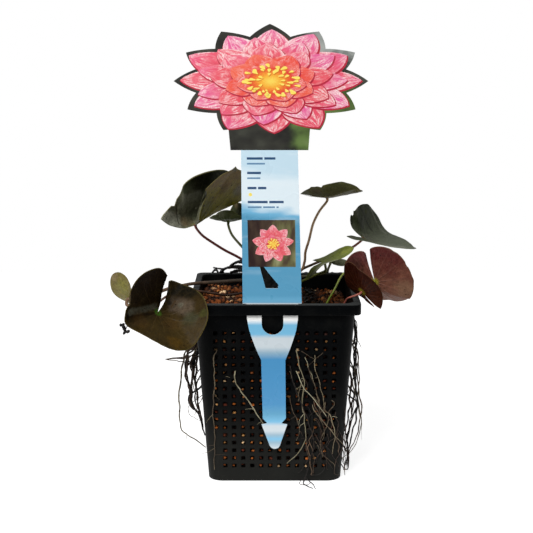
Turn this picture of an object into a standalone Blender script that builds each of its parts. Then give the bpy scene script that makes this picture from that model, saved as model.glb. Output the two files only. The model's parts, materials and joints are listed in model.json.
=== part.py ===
"""A young water lily growing in a square mesh pot, with a picture label standing in the pot's rim.

Metres, +Z up, -Y is the front. The origin is the centre of the pot's underside.
"""

import math
import random

import bmesh
import bpy
from mathutils import Matrix, Vector

# The pot: one moulding, a tapered square basket under a turned-down rim
POT_HEIGHT = 0.141
RIM_HALF = 0.0639
RIM_SKIRT = 0.0084
RIM_THICK = 0.0016
RIM_CORNER = 0.0050
RIM_EDGE = 0.0008
WALL_TOP_HALF = 0.0606
WALL_BASE_HALF = 0.0508
WALL_THICK = 0.0018
WALL_CORNER = 0.0110
FLOOR_THICK = 0.0025
FOOT_EDGE = 0.0012
CORNER_STEPS = 3

# The mesh openings in the four walls, drawn larger than life, and the drains in the floor
HOLE_PITCH_U = 0.01368
HOLE_PITCH_Z = 0.0124
HOLE_TOP_Z = 0.1149
HOLE_COLUMNS = 7
HOLE_ROWS = 9
NARROW_ROWS = 2
HOLE_WIDTH = 0.0064
HOLE_HEIGHT = 0.0058
DRAIN_SIDE = 0.0060
DRAIN_REACH = 0.0270

# Every piece keeps this much room to its neighbour
GAP = 0.0003

# Faces that meet at less than this angle are shaded as one smooth surface
SHARP_ANGLE = math.radians(35)

# The clay granules that fill the pot, heaped a little to the left
SOIL_LEVEL = 0.1300
SOIL_SLOPE = -0.050

# The top of the granules is a grid. Its points are by turns the top of a granule, at a height above
# the heap's own, and a dip between granules.
HEAP_STEPS = 38
HEAP_SHIFT = 0.25
GRANULE_TOP = (0.0004, 0.0017)
GRANULE_DIP = (-0.0012, -0.0004)
SOIL_SEED = 7

# The crown that the leaf stalks grow from
CROWN_AT = Vector((-0.004, 0.020, 0.1370))
CROWN_RADII = (0.0135, 0.0115, 0.0150)

# The label, a thin sheet that drops through a slot in the rim and rests there on its shoulders
LABEL_Y = -0.06145
LABEL_THICK = 0.0006
LABEL_SLOT_WIDE = 0.0016
PANEL_HALF_TOP = 0.0206
PANEL_HALF_FOOT = 0.0218
PANEL_TOP = 0.2545
NECK_HALF = 0.0282
NECK_TOP = 0.2740
HEAD_X = 0.0020
HEAD_Z = 0.3040
HEAD_HALF_WIDTH = 0.0700
HEAD_HALF_HEIGHT = 0.0405
HEAD_PETALS = 12
HEAD_NOTCH = 0.20
HEAD_STEPS = 72
FORK_HALF = 0.0192
FORK_FLARE = ((0.0980, 0.0090), (0.1057, 0.0123), (0.1134, 0.0151), (0.1210, 0.0174), (0.1290, 0.0188))
STEM_HALF = 0.0087
STEM_FOOT = 0.0528
BARB_Z = 0.0480
BARB_HALF = 0.0097
BARB_NECK_HALF = 0.0053
LABEL_TIP = 0.0287
TIP_RADIUS = 0.0042
WINDOW_HALF = 0.0080
WINDOW_TOP = 0.1370
WINDOW_FOOT = 0.1176
WEDGE = (
    (-0.0062, 0.1697), (-0.0088, 0.1696), (-0.0047, 0.1528), (0.0043, 0.1528), (0.0050, 0.1552),
    (-0.0021, 0.1640),
)
LABEL_SKEW = -0.0185
LABEL_LEAN_BACK = 0.16
LABEL_LEAN_IN = 0.02
LABEL_STRIPS = 12

# The leaf blades
BLADE_THICK = 0.0007
MARGIN_RIPPLE = 0.012
POINTED_REACH = 0.90
ROUNDED_REACH = 0.45
MARGIN_AT = (-140, -70, 0, 70, 140)
MARGIN_SPREAD = 70

# Each leaf: the point its blade lies at, where its midrib bears from there, how far that climbs and
# how far the blade rolls about it, in degrees; then its reach to the tip, the sides and the lobes,
# how wide its notch is and how pointed (+) or rounded (-) its two lobes end. Its margin gives the
# share by which it reaches further at each of MARGIN_AT, gape how far its half way out opens from
# the tip, and blunt the direction and distance of a straight end. Last come how deeply it is cupped
# and waved, and its folds. A fold is the direction of its line across the flat blade and how far
# the line lies from the stalk, then how far and how tightly all that is left of the line bends up.
LEAVES = {
    "back_left": dict(
        colour=(0.045, 0.052, 0.022),
        at=(-0.062, -0.0045, 0.189), bearing=55, climb=21, roll=47,
        tip=0.06, side=0.043, lobe=0.025, notch=59, ends=(-0.32, 0.35),
        margin=(0.03, 0.05, 0, -0.11, -0.02), gape=-2, blunt=None,
        cup=-0.0055, wave=0.001, phase=0.8, rings=6, spokes=24,
        folds=((-11, 0.003, 67, 0.009), (175, -0.0065, 116, 0.006), (88, 0.0015, 25, 0.0235)),
    ),
    "shaded": dict(
        colour=(0.06, 0.09, 0.03),
        at=(-0.037, 0.04, 0.1875), bearing=-26, climb=4, roll=-14,
        tip=0.0215, side=0.0175, lobe=0.0155, notch=14, ends=(0, -0.05),
        margin=(0, 0, 0, 0, 0), gape=0, blunt=None,
        cup=0.002, wave=-0.002, phase=1.8, rings=4, spokes=16,
        folds=((-32, 0.001, 75, 0.006), (175, 0.0065, 31, 0.009)),
    ),
    "front_left": dict(
        colour=(0.07, 0.052, 0.02),
        at=(-0.0865, -0.068, 0.1355), bearing=-97, climb=-19, roll=-26,
        tip=0.037, side=0.0395, lobe=0.0335, notch=15, ends=(-0.29, -0.1),
        margin=(-0.07, 0.04, 0.04, -0.01, 0.01), gape=3, blunt=None,
        cup=0.0005, wave=-0.003, phase=-1.0, rings=6, spokes=24,
        folds=((156, -0.0035, 71, 0.01), (38, 0.004, 44, 0.0135)),
    ),
    "far_left": dict(
        colour=(0.21, 0.2, 0.1),
        at=(-0.1105, -0.0275, 0.138), bearing=159, climb=49, roll=56,
        tip=0.023, side=0.0115, lobe=0.0095, notch=47, ends=(0.35, 0.02),
        margin=(0, 0, 0, 0, 0), gape=0, blunt=None,
        cup=-0.0005, wave=0.0025, phase=0.4, rings=4, spokes=14,
        folds=((-13, 0.003, 14, 0.007),),
    ),
    "tall_right": dict(
        colour=(0.09, 0.095, 0.05),
        at=(0.0415, 0.019, 0.209), bearing=9, climb=11, roll=-8,
        tip=0.028, side=0.021, lobe=0.0165, notch=15, ends=(0.13, 0.21),
        margin=(-0.04, -0.09, 0.04, -0.04, 0.09), gape=1, blunt=None,
        cup=-0.0005, wave=0.0005, phase=-1.3, rings=5, spokes=22,
        folds=((-1, -0.0025, 36, 0.015), (207, 0.0125, 18, 0.008), (96, -0.0045, 18, 0.018)),
    ),
    "far_right": dict(
        colour=(0.075, 0.095, 0.08),
        at=(0.07, 0.0225, 0.174), bearing=31, climb=-4, roll=12,
        tip=0.047, side=0.0335, lobe=0.0195, notch=51, ends=(0.31, -0.39),
        margin=(0.04, -0.02, -0.03, 0, 0), gape=-3, blunt=(-15.4, 0.0431),
        cup=-0.001, wave=-0.001, phase=-1.0, rings=6, spokes=22,
        folds=((28, -0.007, 68, 0.013), (155, -0.0055, 16, 0.016)),
    ),
    "young": dict(
        colour=(0.2, 0.25, 0.08),
        at=(0.038, -0.0075, 0.163), bearing=-16, climb=22, roll=9,
        tip=0.025, side=0.015, lobe=0.013, notch=60, ends=(0.35, -0.04),
        margin=(0.19, 0.01, 0.04, 0.01, -0.12), gape=0, blunt=None,
        cup=0.0015, wave=0.001, phase=-0.3, rings=4, spokes=14,
        folds=((85, 0.0145, -14, 0.004), (147, 0.007, -45, 0.007)),
    ),
    "budding": dict(
        colour=(0.11, 0.13, 0.11),
        at=(0.045, 0.0205, 0.158), bearing=-8, climb=-15, roll=-41,
        tip=0.0145, side=0.0055, lobe=0.0035, notch=30, ends=(0.14, 0.08),
        margin=(0, 0, 0, 0, 0), gape=0, blunt=None,
        cup=0.002, wave=-0.001, phase=-1.3, rings=3, spokes=10,
        folds=((23, 0.001, 9, 0.0045),),
    ),
    "front_right": dict(
        colour=(0.15, 0.045, 0.035),
        at=(0.076, -0.036, 0.153), bearing=-4, climb=-70, roll=-72,
        tip=0.0275, side=0.0295, lobe=0.0265, notch=10, ends=(-0.09, -0.17),
        margin=(0, 0, 0, 0, 0), gape=0, blunt=None,
        cup=0.005, wave=-0.001, phase=0.3, rings=6, spokes=24,
        folds=((-45, 0.0, 42, 0.0085), (174, -0.0075, -8, 0.0105)),
    ),
    "front_fold": dict(
        colour=(0.085, 0.02, 0.012),
        at=(0.0645, -0.0555, 0.149), bearing=164, climb=51, roll=44,
        tip=0.024, side=0.016, lobe=0.0175, notch=17, ends=(-0.31, 0.11),
        margin=(0, 0, 0, 0, 0), gape=0, blunt=None,
        cup=0.003, wave=0.0015, phase=1.4, rings=5, spokes=20,
        folds=((18, 0.005, 23, 0.0075), (142, 0.0085, 13, 0.01)),
    ),
}

# Each stalk: where it leaves the crown, as degrees round it and up from its middle, then the
# points it passes on its way to its leaf. Two stalks come straight up out of the granules.
STALK_RADIUS = 0.0011
STALK_DEPTH = 0.0040
STALK_STRAIGHT = 0.0030
STALK_SEAT_GAP = 0.0008
STALK_SPACING = 0.0075
STALKS = {
    "back_left": dict(
        colour=(0.090, 0.025, 0.022), crown=(203, 50),
        through=(
            (-0.0178, 0.0140, 0.1556), (-0.0288, 0.0100, 0.1635), (-0.0389, 0.0060, 0.1696),
            (-0.0489, 0.0010, 0.1769), (-0.0560, -0.0030, 0.1828),
        ),
    ),
    "shaded": dict(
        colour=(0.070, 0.080, 0.025), crown=(148, 58),
        through=(
            (-0.0130, 0.0270, 0.1560), (-0.0205, 0.0310, 0.1625), (-0.0290, 0.0340, 0.1710),
            (-0.0345, 0.0370, 0.1775),
        ),
    ),
    "front_left": dict(
        colour=(0.110, 0.045, 0.025), crown=(235, 10),
        through=(
            (-0.0231, -0.0060, 0.1385), (-0.0359, -0.0220, 0.1395), (-0.0477, -0.0310, 0.1428),
            (-0.0590, -0.0355, 0.1455), (-0.0700, -0.0390, 0.1465), (-0.0820, -0.0425, 0.1425),
            (-0.0915, -0.0490, 0.1345), (-0.0945, -0.0575, 0.1290),
        ),
    ),
    "far_left": dict(
        colour=(0.130, 0.055, 0.035), crown=(190, 16),
        through=(
            (-0.0266, 0.0160, 0.1435), (-0.0431, 0.0100, 0.1435), (-0.0547, 0.0040, 0.1440),
            (-0.0645, -0.0040, 0.1448), (-0.0733, -0.0120, 0.1446), (-0.0836, -0.0200, 0.1435),
            (-0.0955, -0.0300, 0.1400), (-0.1040, -0.0365, 0.1365), (-0.1115, -0.0365, 0.1345),
        ),
    ),
    "tall_right": dict(
        colour=(0.200, 0.120, 0.075), crown=(20, 50),
        through=(
            (0.0200, 0.0200, 0.1500), (0.0240, 0.0200, 0.1577), (0.0247, 0.0200, 0.1658),
            (0.0275, 0.0200, 0.1755), (0.0306, 0.0200, 0.1883), (0.0355, 0.0200, 0.1985),
        ),
    ),
    "far_right": dict(
        colour=(0.085, 0.040, 0.025), crown=(22, 12),
        through=(
            (0.0213, 0.0260, 0.1500), (0.0302, 0.0280, 0.1540), (0.0413, 0.0290, 0.1585),
            (0.0522, 0.0280, 0.1640), (0.0615, 0.0260, 0.1680),
        ),
    ),
    "young": dict(
        colour=(0.110, 0.130, 0.030), crown=(-38, 8),
        through=(
            (0.0171, 0.0100, 0.1422), (0.0272, 0.0050, 0.1475), (0.0345, 0.0000, 0.1520),
            (0.0395, -0.0040, 0.1552),
        ),
    ),
    "budding": dict(
        colour=(0.060, 0.050, 0.025), crown=(-12, 30),
        through=(
            (0.0164, 0.0170, 0.1460), (0.0274, 0.0150, 0.1475), (0.0361, 0.0135, 0.1490),
            (0.0410, 0.0140, 0.1505),
        ),
    ),
    "front_right": dict(
        colour=(0.150, 0.160, 0.030), soil=(0.0360, -0.0430, 0.1290),
        through=(
            (0.0395, -0.0435, 0.1385), (0.0450, -0.0425, 0.1484), (0.0505, -0.0385, 0.1580),
            (0.0575, -0.0365, 0.1625), (0.0645, -0.0390, 0.1605), (0.0695, -0.0415, 0.1560),
        ),
    ),
    "front_fold": dict(
        colour=(0.230, 0.090, 0.075), soil=(0.0475, -0.0450, 0.1280),
        through=((0.0510, -0.0480, 0.1360), (0.0535, -0.0520, 0.1425), (0.0560, -0.0562, 0.1450)),
    ),
}

# Dead stalks lie curled over the back of the rim
DEAD_STALKS = {
    "dead_stalk_inner": dict(
        crown=(120, 42),
        through=(
            (-0.0150, 0.0310, 0.1510), (-0.0215, 0.0350, 0.1545), (-0.0280, 0.0370, 0.1555),
            (-0.0330, 0.0390, 0.1530), (-0.0355, 0.0400, 0.1490),
        ),
    ),
    "dead_stalk_outer": dict(
        crown=(112, 10),
        through=(
            (-0.0170, 0.0380, 0.1440), (-0.0250, 0.0450, 0.1470), (-0.0340, 0.0500, 0.1475),
            (-0.0430, 0.0520, 0.1462), (-0.0500, 0.0530, 0.1470),
        ),
    ),
}

# The roots leave the pot through its openings and hang down its walls. Each starts at an opening,
# given as its column, its row and the corner of it that the root takes. Then it passes points
# given as how far along the wall, how high, and how far out from the wall.
ROOT_THICK = 0.00055
ROOT_SPACING = 0.0065
ROOT_MOUTH = 0.0011
ROOT_CORNER_U = 0.0023
ROOT_CORNER_Z = 0.0020
ROOT_CREAM = (0.420, 0.330, 0.210)
ROOT_TAN = (0.200, 0.135, 0.080)
ROOT_BROWN = (0.050, 0.032, 0.020)
ROOTS = {
    "front_root_edge": dict(
        side="front", colour=ROOT_TAN, opening=(-3, 1, -1, 1),
        points=(
            (-0.0458, 0.0985, 0.0014), (-0.0455, 0.0810, 0.0013), (-0.0465, 0.0575, 0.0014),
            (-0.0460, 0.0335, 0.0013), (-0.0462, 0.0095, 0.0014),
        ),
    ),
    "front_root_pale": dict(
        side="front", colour=ROOT_CREAM, opening=(-2, 2, -1, -1),
        points=(
            (-0.0298, 0.0830, 0.0016), (-0.0255, 0.0734, 0.0013), (-0.0187, 0.0631, 0.0016),
            (-0.0127, 0.0535, 0.0014), (-0.0074, 0.0455, 0.0013), (-0.0040, 0.0400, 0.0013),
        ),
    ),
    "front_root_long": dict(
        side="front", colour=ROOT_CREAM, opening=(1, 1, 1, 1),
        points=(
            (0.0175, 0.0980, 0.0016), (0.0185, 0.0925, 0.0013), (0.0219, 0.0813, 0.0013),
            (0.0205, 0.0655, 0.0013), (0.0226, 0.0495, 0.0014), (0.0230, 0.0334, 0.0013),
            (0.0177, 0.0237, 0.0014), (0.0093, 0.0148, 0.0013),
        ),
    ),
    "front_root_right": dict(
        side="front", colour=ROOT_TAN, opening=(2, 2, -1, 1),
        points=(
            (0.0268, 0.0862, 0.0016), (0.0290, 0.0800, 0.0013), (0.0325, 0.0695, 0.0014),
            (0.0333, 0.0607, 0.0013), (0.0342, 0.0511, 0.0013),
        ),
    ),
    "front_root_outer": dict(
        side="front", colour=ROOT_TAN, opening=(2, 1, 1, -1),
        points=(
            (0.0300, 0.0940, 0.0016), (0.0315, 0.0861, 0.0013), (0.0345, 0.0766, 0.0013),
            (0.0362, 0.0671, 0.0013), (0.0368, 0.0580, 0.0013),
        ),
    ),
    "front_root_across": dict(
        side="front", colour=ROOT_CREAM, opening=(1, 2, 1, -1),
        points=(
            (0.0183, 0.0825, 0.0032), (0.0215, 0.0765, 0.0034), (0.0257, 0.0718, 0.0032),
            (0.0310, 0.0647, 0.0030), (0.0387, 0.0535, 0.0028),
        ),
    ),
    "front_root_short": dict(
        side="front", colour=ROOT_TAN, opening=(1, 4, -1, 1),
        points=(
            (0.0120, 0.0620, 0.0016), (0.0140, 0.0560, 0.0014), (0.0173, 0.0495, 0.0014),
            (0.0188, 0.0415, 0.0013), (0.0161, 0.0334, 0.0013),
        ),
    ),
    "front_root_low": dict(
        side="front", colour=ROOT_BROWN, opening=(1, 2, -1, 1),
        points=(
            (0.0125, 0.0860, 0.0016), (0.0140, 0.0780, 0.0016), (0.0182, 0.0671, 0.0030),
            (0.0236, 0.0535, 0.0034), (0.0282, 0.0415, 0.0030), (0.0298, 0.0294, 0.0016),
            (0.0261, 0.0189, 0.0013), (0.0201, 0.0091, 0.0013),
        ),
    ),
    "floor_root": dict(
        side="front", colour=ROOT_BROWN, opening=(2, 8, -1, -1),
        points=(
            (0.0245, 0.0080, 0.0022), (0.0228, 0.0032, 0.0050), (0.0215, 0.0013, 0.0100),
            (0.0245, 0.0011, 0.0140), (0.0290, 0.0012, 0.0190),
        ),
    ),
    "right_root_front": dict(
        side="right", colour=ROOT_BROWN, opening=(-2, 0, -1, 1),
        points=(
            (-0.0300, 0.1120, 0.0030), (-0.0300, 0.0981, 0.0044), (-0.0295, 0.0823, 0.0063),
            (-0.0300, 0.0663, 0.0066), (-0.0300, 0.0519, 0.0061), (-0.0300, 0.0382, 0.0047),
            (-0.0300, 0.0261, 0.0032), (-0.0300, 0.0180, 0.0022),
        ),
    ),
    "right_root_loop": dict(
        side="right", colour=ROOT_TAN, opening=(-1, 1, 1, 1),
        points=(
            (-0.0105, 0.0985, 0.0045), (-0.0100, 0.0890, 0.0087), (-0.0100, 0.0704, 0.0108),
            (-0.0100, 0.0541, 0.0112), (-0.0100, 0.0426, 0.0143), (-0.0100, 0.0319, 0.0151),
            (-0.0100, 0.0179, 0.0129), (-0.0100, 0.0096, 0.0087), (-0.0100, 0.0046, 0.0030),
        ),
    ),
    "right_root_foot": dict(
        side="right", colour=ROOT_BROWN, opening=(-2, 6, 1, -1),
        points=(
            (-0.0240, 0.0330, 0.0018), (-0.0235, 0.0261, 0.0040), (-0.0235, 0.0139, 0.0056),
            (-0.0230, 0.0035, 0.0058), (-0.0215, 0.0060, 0.0025), (-0.0205, 0.0110, 0.0014),
        ),
    ),
    "right_root_back": dict(
        side="right", colour=ROOT_TAN, opening=(0, 0, -1, 1),
        points=(
            (-0.0030, 0.1120, 0.0040), (-0.0035, 0.1020, 0.0052), (-0.0040, 0.0862, 0.0075),
            (-0.0045, 0.0703, 0.0071), (-0.0050, 0.0600, 0.0045), (-0.0050, 0.0540, 0.0020),
        ),
    ),
    "left_root_bow": dict(
        side="left", colour=ROOT_CREAM, opening=(-1, 1, -1, 1),
        points=(
            (-0.0180, 0.1000, 0.0070), (-0.0190, 0.0920, 0.0125), (-0.0200, 0.0836, 0.0148),
            (-0.0200, 0.0594, 0.0196), (-0.0200, 0.0432, 0.0207), (-0.0200, 0.0326, 0.0207),
            (-0.0200, 0.0277, 0.0163), (-0.0200, 0.0228, 0.0096), (-0.0200, 0.0171, 0.0021),
        ),
    ),
    "left_root_front": dict(
        side="left", colour=ROOT_BROWN, opening=(-2, 1, -1, 1),
        points=(
            (-0.0300, 0.0990, 0.0080), (-0.0300, 0.0854, 0.0125), (-0.0300, 0.0759, 0.0124),
            (-0.0300, 0.0663, 0.0100), (-0.0300, 0.0575, 0.0121), (-0.0300, 0.0511, 0.0079),
            (-0.0300, 0.0455, 0.0044), (-0.0300, 0.0342, 0.0028),
        ),
    ),
    "left_root_back": dict(
        side="left", colour=ROOT_TAN, opening=(0, 2, -1, 1),
        points=(
            (-0.0050, 0.0870, 0.0065), (-0.0075, 0.0785, 0.0071), (-0.0090, 0.0672, 0.0094),
            (-0.0095, 0.0557, 0.0071), (-0.0100, 0.0443, 0.0063),
        ),
    ),
    "left_root_side": dict(
        side="left", colour=ROOT_TAN, opening=(-2, 2, 1, 1),
        points=(
            (-0.0260, 0.0925, 0.0063), (-0.0280, 0.0926, 0.0128), (-0.0295, 0.0914, 0.0205),
            (-0.0310, 0.0910, 0.0275),
        ),
    ),
}


def clear_scene():
    for item in list(bpy.data.objects):
        bpy.data.objects.remove(item)


def new_collection(name):
    group = bpy.data.collections.new(name)
    bpy.context.scene.collection.children.link(group)
    return group


def plain_material(name, colour, roughness):
    material = bpy.data.materials.new(name)
    material.use_nodes = True
    shader = material.node_tree.nodes["Principled BSDF"]
    shader.inputs["Base Color"].default_value = (*colour, 1.0)
    shader.inputs["Roughness"].default_value = roughness
    return material


def finish_mesh(bm, name, group, material=None):
    """Turns the working mesh into an object with its faces out."""
    bmesh.ops.recalc_face_normals(bm, faces=bm.faces)
    mesh = bpy.data.meshes.new(name)
    bm.to_mesh(mesh)
    bm.free()
    mesh.shade_smooth()
    mesh.set_sharp_from_angle(angle=SHARP_ANGLE)
    piece = bpy.data.objects.new(name, mesh)
    group.objects.link(piece)
    if material:
        mesh.materials.append(material)
    return piece


def hide_cutter(piece):
    piece.hide_render = True
    piece.display_type = "WIRE"
    return piece


def cut(piece, cutter):
    modifier = piece.modifiers.new("cut_" + cutter.name, "BOOLEAN")
    modifier.operation = "DIFFERENCE"
    modifier.solver = "EXACT"
    modifier.object = cutter


def rounded_square(half, corner, z):
    """One ring of a square with round corners, with the same number of points for any size."""
    ring = []
    flat = half - corner
    for quarter in range(4):
        turn = Matrix.Rotation(quarter * math.pi / 2, 3, "Z")
        for step in range(CORNER_STEPS + 1):
            angle = step / CORNER_STEPS * math.pi / 2
            point = Vector((flat + corner * math.cos(angle), flat + corner * math.sin(angle), z))
            ring.append(turn @ point)
    return ring


def loft(rings):
    """A closed body through the rings, capped flat at both ends."""
    bm = bmesh.new()
    rows = [[bm.verts.new(point) for point in ring] for ring in rings]
    count = len(rows[0])
    for lower, upper in zip(rows, rows[1:]):
        for i in range(count):
            j = (i + 1) % count
            bm.faces.new((lower[i], lower[j], upper[j], upper[i]))
    bm.faces.new(rows[0])
    bm.faces.new(rows[-1])
    return bm


def wall_half(z):
    """Half the width across the outside of the basket at this height."""
    return WALL_BASE_HALF + (WALL_TOP_HALF - WALL_BASE_HALF) * z / POT_HEIGHT


def row_height(row):
    return HOLE_TOP_Z - row * HOLE_PITCH_Z


def add_box(bm, centre, size):
    scale = Matrix.Diagonal((*size, 1.0))
    bmesh.ops.create_cube(bm, size=1.0, matrix=Matrix.Translation(centre) @ scale)


def mesh_bars(name, group, along_y):
    """Square bars that cut the openings through two opposite walls."""
    bm = bmesh.new()
    for row in range(HOLE_ROWS):
        reach = HOLE_COLUMNS // 2
        if row >= HOLE_ROWS - NARROW_ROWS:
            reach -= 1
        for column in range(-reach, reach + 1):
            u = column * HOLE_PITCH_U
            if along_y:
                add_box(bm, (u, 0, row_height(row)), (HOLE_WIDTH, 0.16, HOLE_HEIGHT))
            else:
                add_box(bm, (0, u, row_height(row)), (0.16, HOLE_WIDTH, HOLE_HEIGHT))
    return hide_cutter(finish_mesh(bm, name, group))


def label_middle(z):
    """The label stands a little askew, so its middle line drifts to the left."""
    return LABEL_SKEW * (z - LABEL_TIP)


def slot_and_drains(group):
    """The slot in the rim that takes the label, and four drains clear of the middle of the floor."""
    bm = bmesh.new()
    width = 2 * (FORK_HALF + 2 * GAP)
    centre = (label_middle(POT_HEIGHT), LABEL_Y, POT_HEIGHT)
    add_box(bm, centre, (width, LABEL_SLOT_WIDE, 4 * RIM_THICK))
    for x in (-DRAIN_REACH, DRAIN_REACH):
        for y in (-DRAIN_REACH, DRAIN_REACH):
            add_box(bm, (x, y, 0), (DRAIN_SIDE, DRAIN_SIDE, 4 * FLOOR_THICK))
    return hide_cutter(finish_mesh(bm, "slot_and_drains", group))


def make_pot(group, cutters):
    under_rim = POT_HEIGHT - RIM_THICK
    skirt_foot = POT_HEIGHT - RIM_SKIRT
    skirt_inside = RIM_HALF - RIM_THICK
    inner_corner = WALL_CORNER - WALL_THICK
    rings = [
        rounded_square(WALL_BASE_HALF - FOOT_EDGE, WALL_CORNER - FOOT_EDGE, 0),
        rounded_square(wall_half(FOOT_EDGE), WALL_CORNER, FOOT_EDGE),
        rounded_square(wall_half(under_rim), WALL_CORNER, under_rim),
        rounded_square(skirt_inside, RIM_CORNER - RIM_THICK, under_rim),
        rounded_square(skirt_inside, RIM_CORNER - RIM_THICK, skirt_foot),
        rounded_square(RIM_HALF, RIM_CORNER, skirt_foot),
        rounded_square(RIM_HALF, RIM_CORNER, POT_HEIGHT - RIM_EDGE),
        rounded_square(RIM_HALF - RIM_EDGE, RIM_CORNER - RIM_EDGE, POT_HEIGHT),
        rounded_square(wall_half(POT_HEIGHT) - WALL_THICK, inner_corner, POT_HEIGHT),
        rounded_square(wall_half(FLOOR_THICK) - WALL_THICK, inner_corner, FLOOR_THICK),
    ]
    material = plain_material("pot_black", (0.012, 0.012, 0.013), 0.42)
    pot = finish_mesh(loft(rings), "pot", group, material)
    cut(pot, mesh_bars("bars_front_back", cutters, True))
    cut(pot, mesh_bars("bars_left_right", cutters, False))
    cut(pot, slot_and_drains(cutters))
    return pot


def soil_height(x):
    return SOIL_LEVEL + SOIL_SLOPE * x


def on_rounded(x, y, half, corner):
    """Moves a point of a square's edge onto the square's round corner, where it is past one."""
    flat = half - corner
    past_x = abs(x) - flat
    past_y = abs(y) - flat
    if past_x <= 0 or past_y <= 0:
        return x, y
    length = math.hypot(past_x, past_y)
    across = flat + corner * past_x / length
    along = flat + corner * past_y / length
    return math.copysign(across, x), math.copysign(along, y)


def heap_grid():
    """The heap's grid as its points (u, v, lift): across from -1 to 1, and up from the heap's height."""
    rng = random.Random(SOIL_SEED)
    shift = 2 * HEAP_SHIFT / HEAP_STEPS
    grid = []
    for i in range(HEAP_STEPS + 1):
        row = []
        for j in range(HEAP_STEPS + 1):
            u = 2 * i / HEAP_STEPS - 1
            v = 2 * j / HEAP_STEPS - 1
            lift = rng.uniform(*(GRANULE_TOP if (i + j) % 2 == 0 else GRANULE_DIP))
            du = rng.uniform(-shift, shift)
            dv = rng.uniform(-shift, shift)
            if 0 < i < HEAP_STEPS and 0 < j < HEAP_STEPS:
                row.append((u + du, v + dv, lift))
            else:
                row.append((u, v, GRANULE_DIP[1]))
        grid.append(row)
    return grid


def heap_point(u, v, lift, half, corner):
    """A point of the heap. The grid's squares grow as round at their corners as the basket is."""
    ring = min(1.0, max(abs(u), abs(v)))
    x, y = on_rounded(u * half, v * half, half * ring, corner * ring)
    return Vector((x, y, soil_height(x) + lift))


def make_soil(group):
    """The granules as one body: it fills the basket, and the tops of granules stand out of it."""
    bm = bmesh.new()
    foot = FLOOR_THICK + GAP
    inset = WALL_THICK + GAP
    brim = wall_half(SOIL_LEVEL) - inset - GAP
    grid = []
    for row in heap_grid():
        grid.append([bm.verts.new(heap_point(*point, brim, WALL_CORNER)) for point in row])
    for i in range(HEAP_STEPS):
        for j in range(HEAP_STEPS):
            square = [grid[i][j], grid[i + 1][j], grid[i + 1][j + 1], grid[i][j + 1]]
            if (i + j) % 2 == 0:
                square = square[1:] + square[:1]
            bm.faces.new((square[0], square[1], square[2]))
            bm.faces.new((square[0], square[2], square[3]))
    last = HEAP_STEPS
    rim = [(i, 0) for i in range(last)] + [(last, j) for j in range(last)]
    rim += [(i, last) for i in range(last, 0, -1)] + [(0, j) for j in range(last, 0, -1)]
    half = wall_half(foot) - inset
    base = []
    for i, j in rim:
        u = 2 * i / HEAP_STEPS - 1
        v = 2 * j / HEAP_STEPS - 1
        x, y = on_rounded(u * half, v * half, half, WALL_CORNER)
        base.append(bm.verts.new((x, y, foot)))
    for k, (i, j) in enumerate(rim):
        after = (k + 1) % len(rim)
        bm.faces.new((grid[i][j], grid[rim[after][0]][rim[after][1]], base[after], base[k]))
    bm.faces.new(base)
    material = plain_material("granules_clay", (0.36, 0.16, 0.07), 0.85)
    return finish_mesh(bm, "granules", group, material)


def add_ball(bm, centre, radii):
    scale = Matrix.Diagonal((*radii, 1.0))
    matrix = Matrix.Translation(centre) @ scale
    bmesh.ops.create_icosphere(bm, subdivisions=3, radius=1.0, matrix=matrix)


def make_crown(group):
    bm = bmesh.new()
    add_ball(bm, CROWN_AT, CROWN_RADII)
    material = plain_material("crown_dark", (0.020, 0.014, 0.010), 0.75)
    return finish_mesh(bm, "crown", group, material)


def crown_hollow(group):
    """Makes room for the crown in the granules."""
    bm = bmesh.new()
    add_ball(bm, CROWN_AT, [radius + 1.4 * GAP for radius in CROWN_RADII])
    return hide_cutter(finish_mesh(bm, "crown_hollow", group))


def head_outline():
    """The label's head, an even rosette of pointed petals, from its neck round to its neck."""
    points = []
    for step in range(HEAD_STEPS + 1):
        angle = -math.pi / 2 + 2 * math.pi * step / HEAD_STEPS
        from_tip = abs(2 * ((angle * HEAD_PETALS / (2 * math.pi) + 0.5) % 1.0) - 1)
        reach = 1 - HEAD_NOTCH * from_tip
        x = HEAD_X + HEAD_HALF_WIDTH * reach * math.cos(angle)
        z = HEAD_Z + HEAD_HALF_HEIGHT * reach * math.sin(angle)
        if z > NECK_TOP or abs(x) > NECK_HALF:
            points.append((x, z))
    return points


def label_outline():
    """The label's outline up its right side, round the head and down its left side."""
    right = []
    tip_centre = LABEL_TIP + TIP_RADIUS
    for step in range(5):
        angle = -math.pi / 2 + step / 4 * math.radians(65)
        right.append((TIP_RADIUS * math.cos(angle), tip_centre + TIP_RADIUS * math.sin(angle)))
    right += [
        (BARB_HALF, BARB_Z),
        (BARB_NECK_HALF, BARB_Z + 0.0008),
        (STEM_HALF, STEM_FOOT),
        *((half, z) for z, half in FORK_FLARE),
        (FORK_HALF, POT_HEIGHT + GAP),
        (PANEL_HALF_FOOT, POT_HEIGHT + GAP),
        (PANEL_HALF_TOP, PANEL_TOP),
        (NECK_HALF, PANEL_TOP),
    ]
    left = [(-x, z) for x, z in reversed(right[1:])]
    return right + head_outline() + left


def window_outline():
    """The round-footed window in the label's fork."""
    points = [(WINDOW_HALF, WINDOW_TOP), (-WINDOW_HALF, WINDOW_TOP)]
    centre = WINDOW_FOOT + WINDOW_HALF
    for step in range(9):
        angle = math.pi + step / 8 * math.pi
        points.append((WINDOW_HALF * math.cos(angle), centre + WINDOW_HALF * math.sin(angle)))
    return points


def label_lean(z):
    """How far back the sheet leans above the rim, and how far in below it."""
    if z > POT_HEIGHT:
        return LABEL_LEAN_BACK * (z - POT_HEIGHT) ** 2
    return LABEL_LEAN_IN * (POT_HEIGHT - z)


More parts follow.
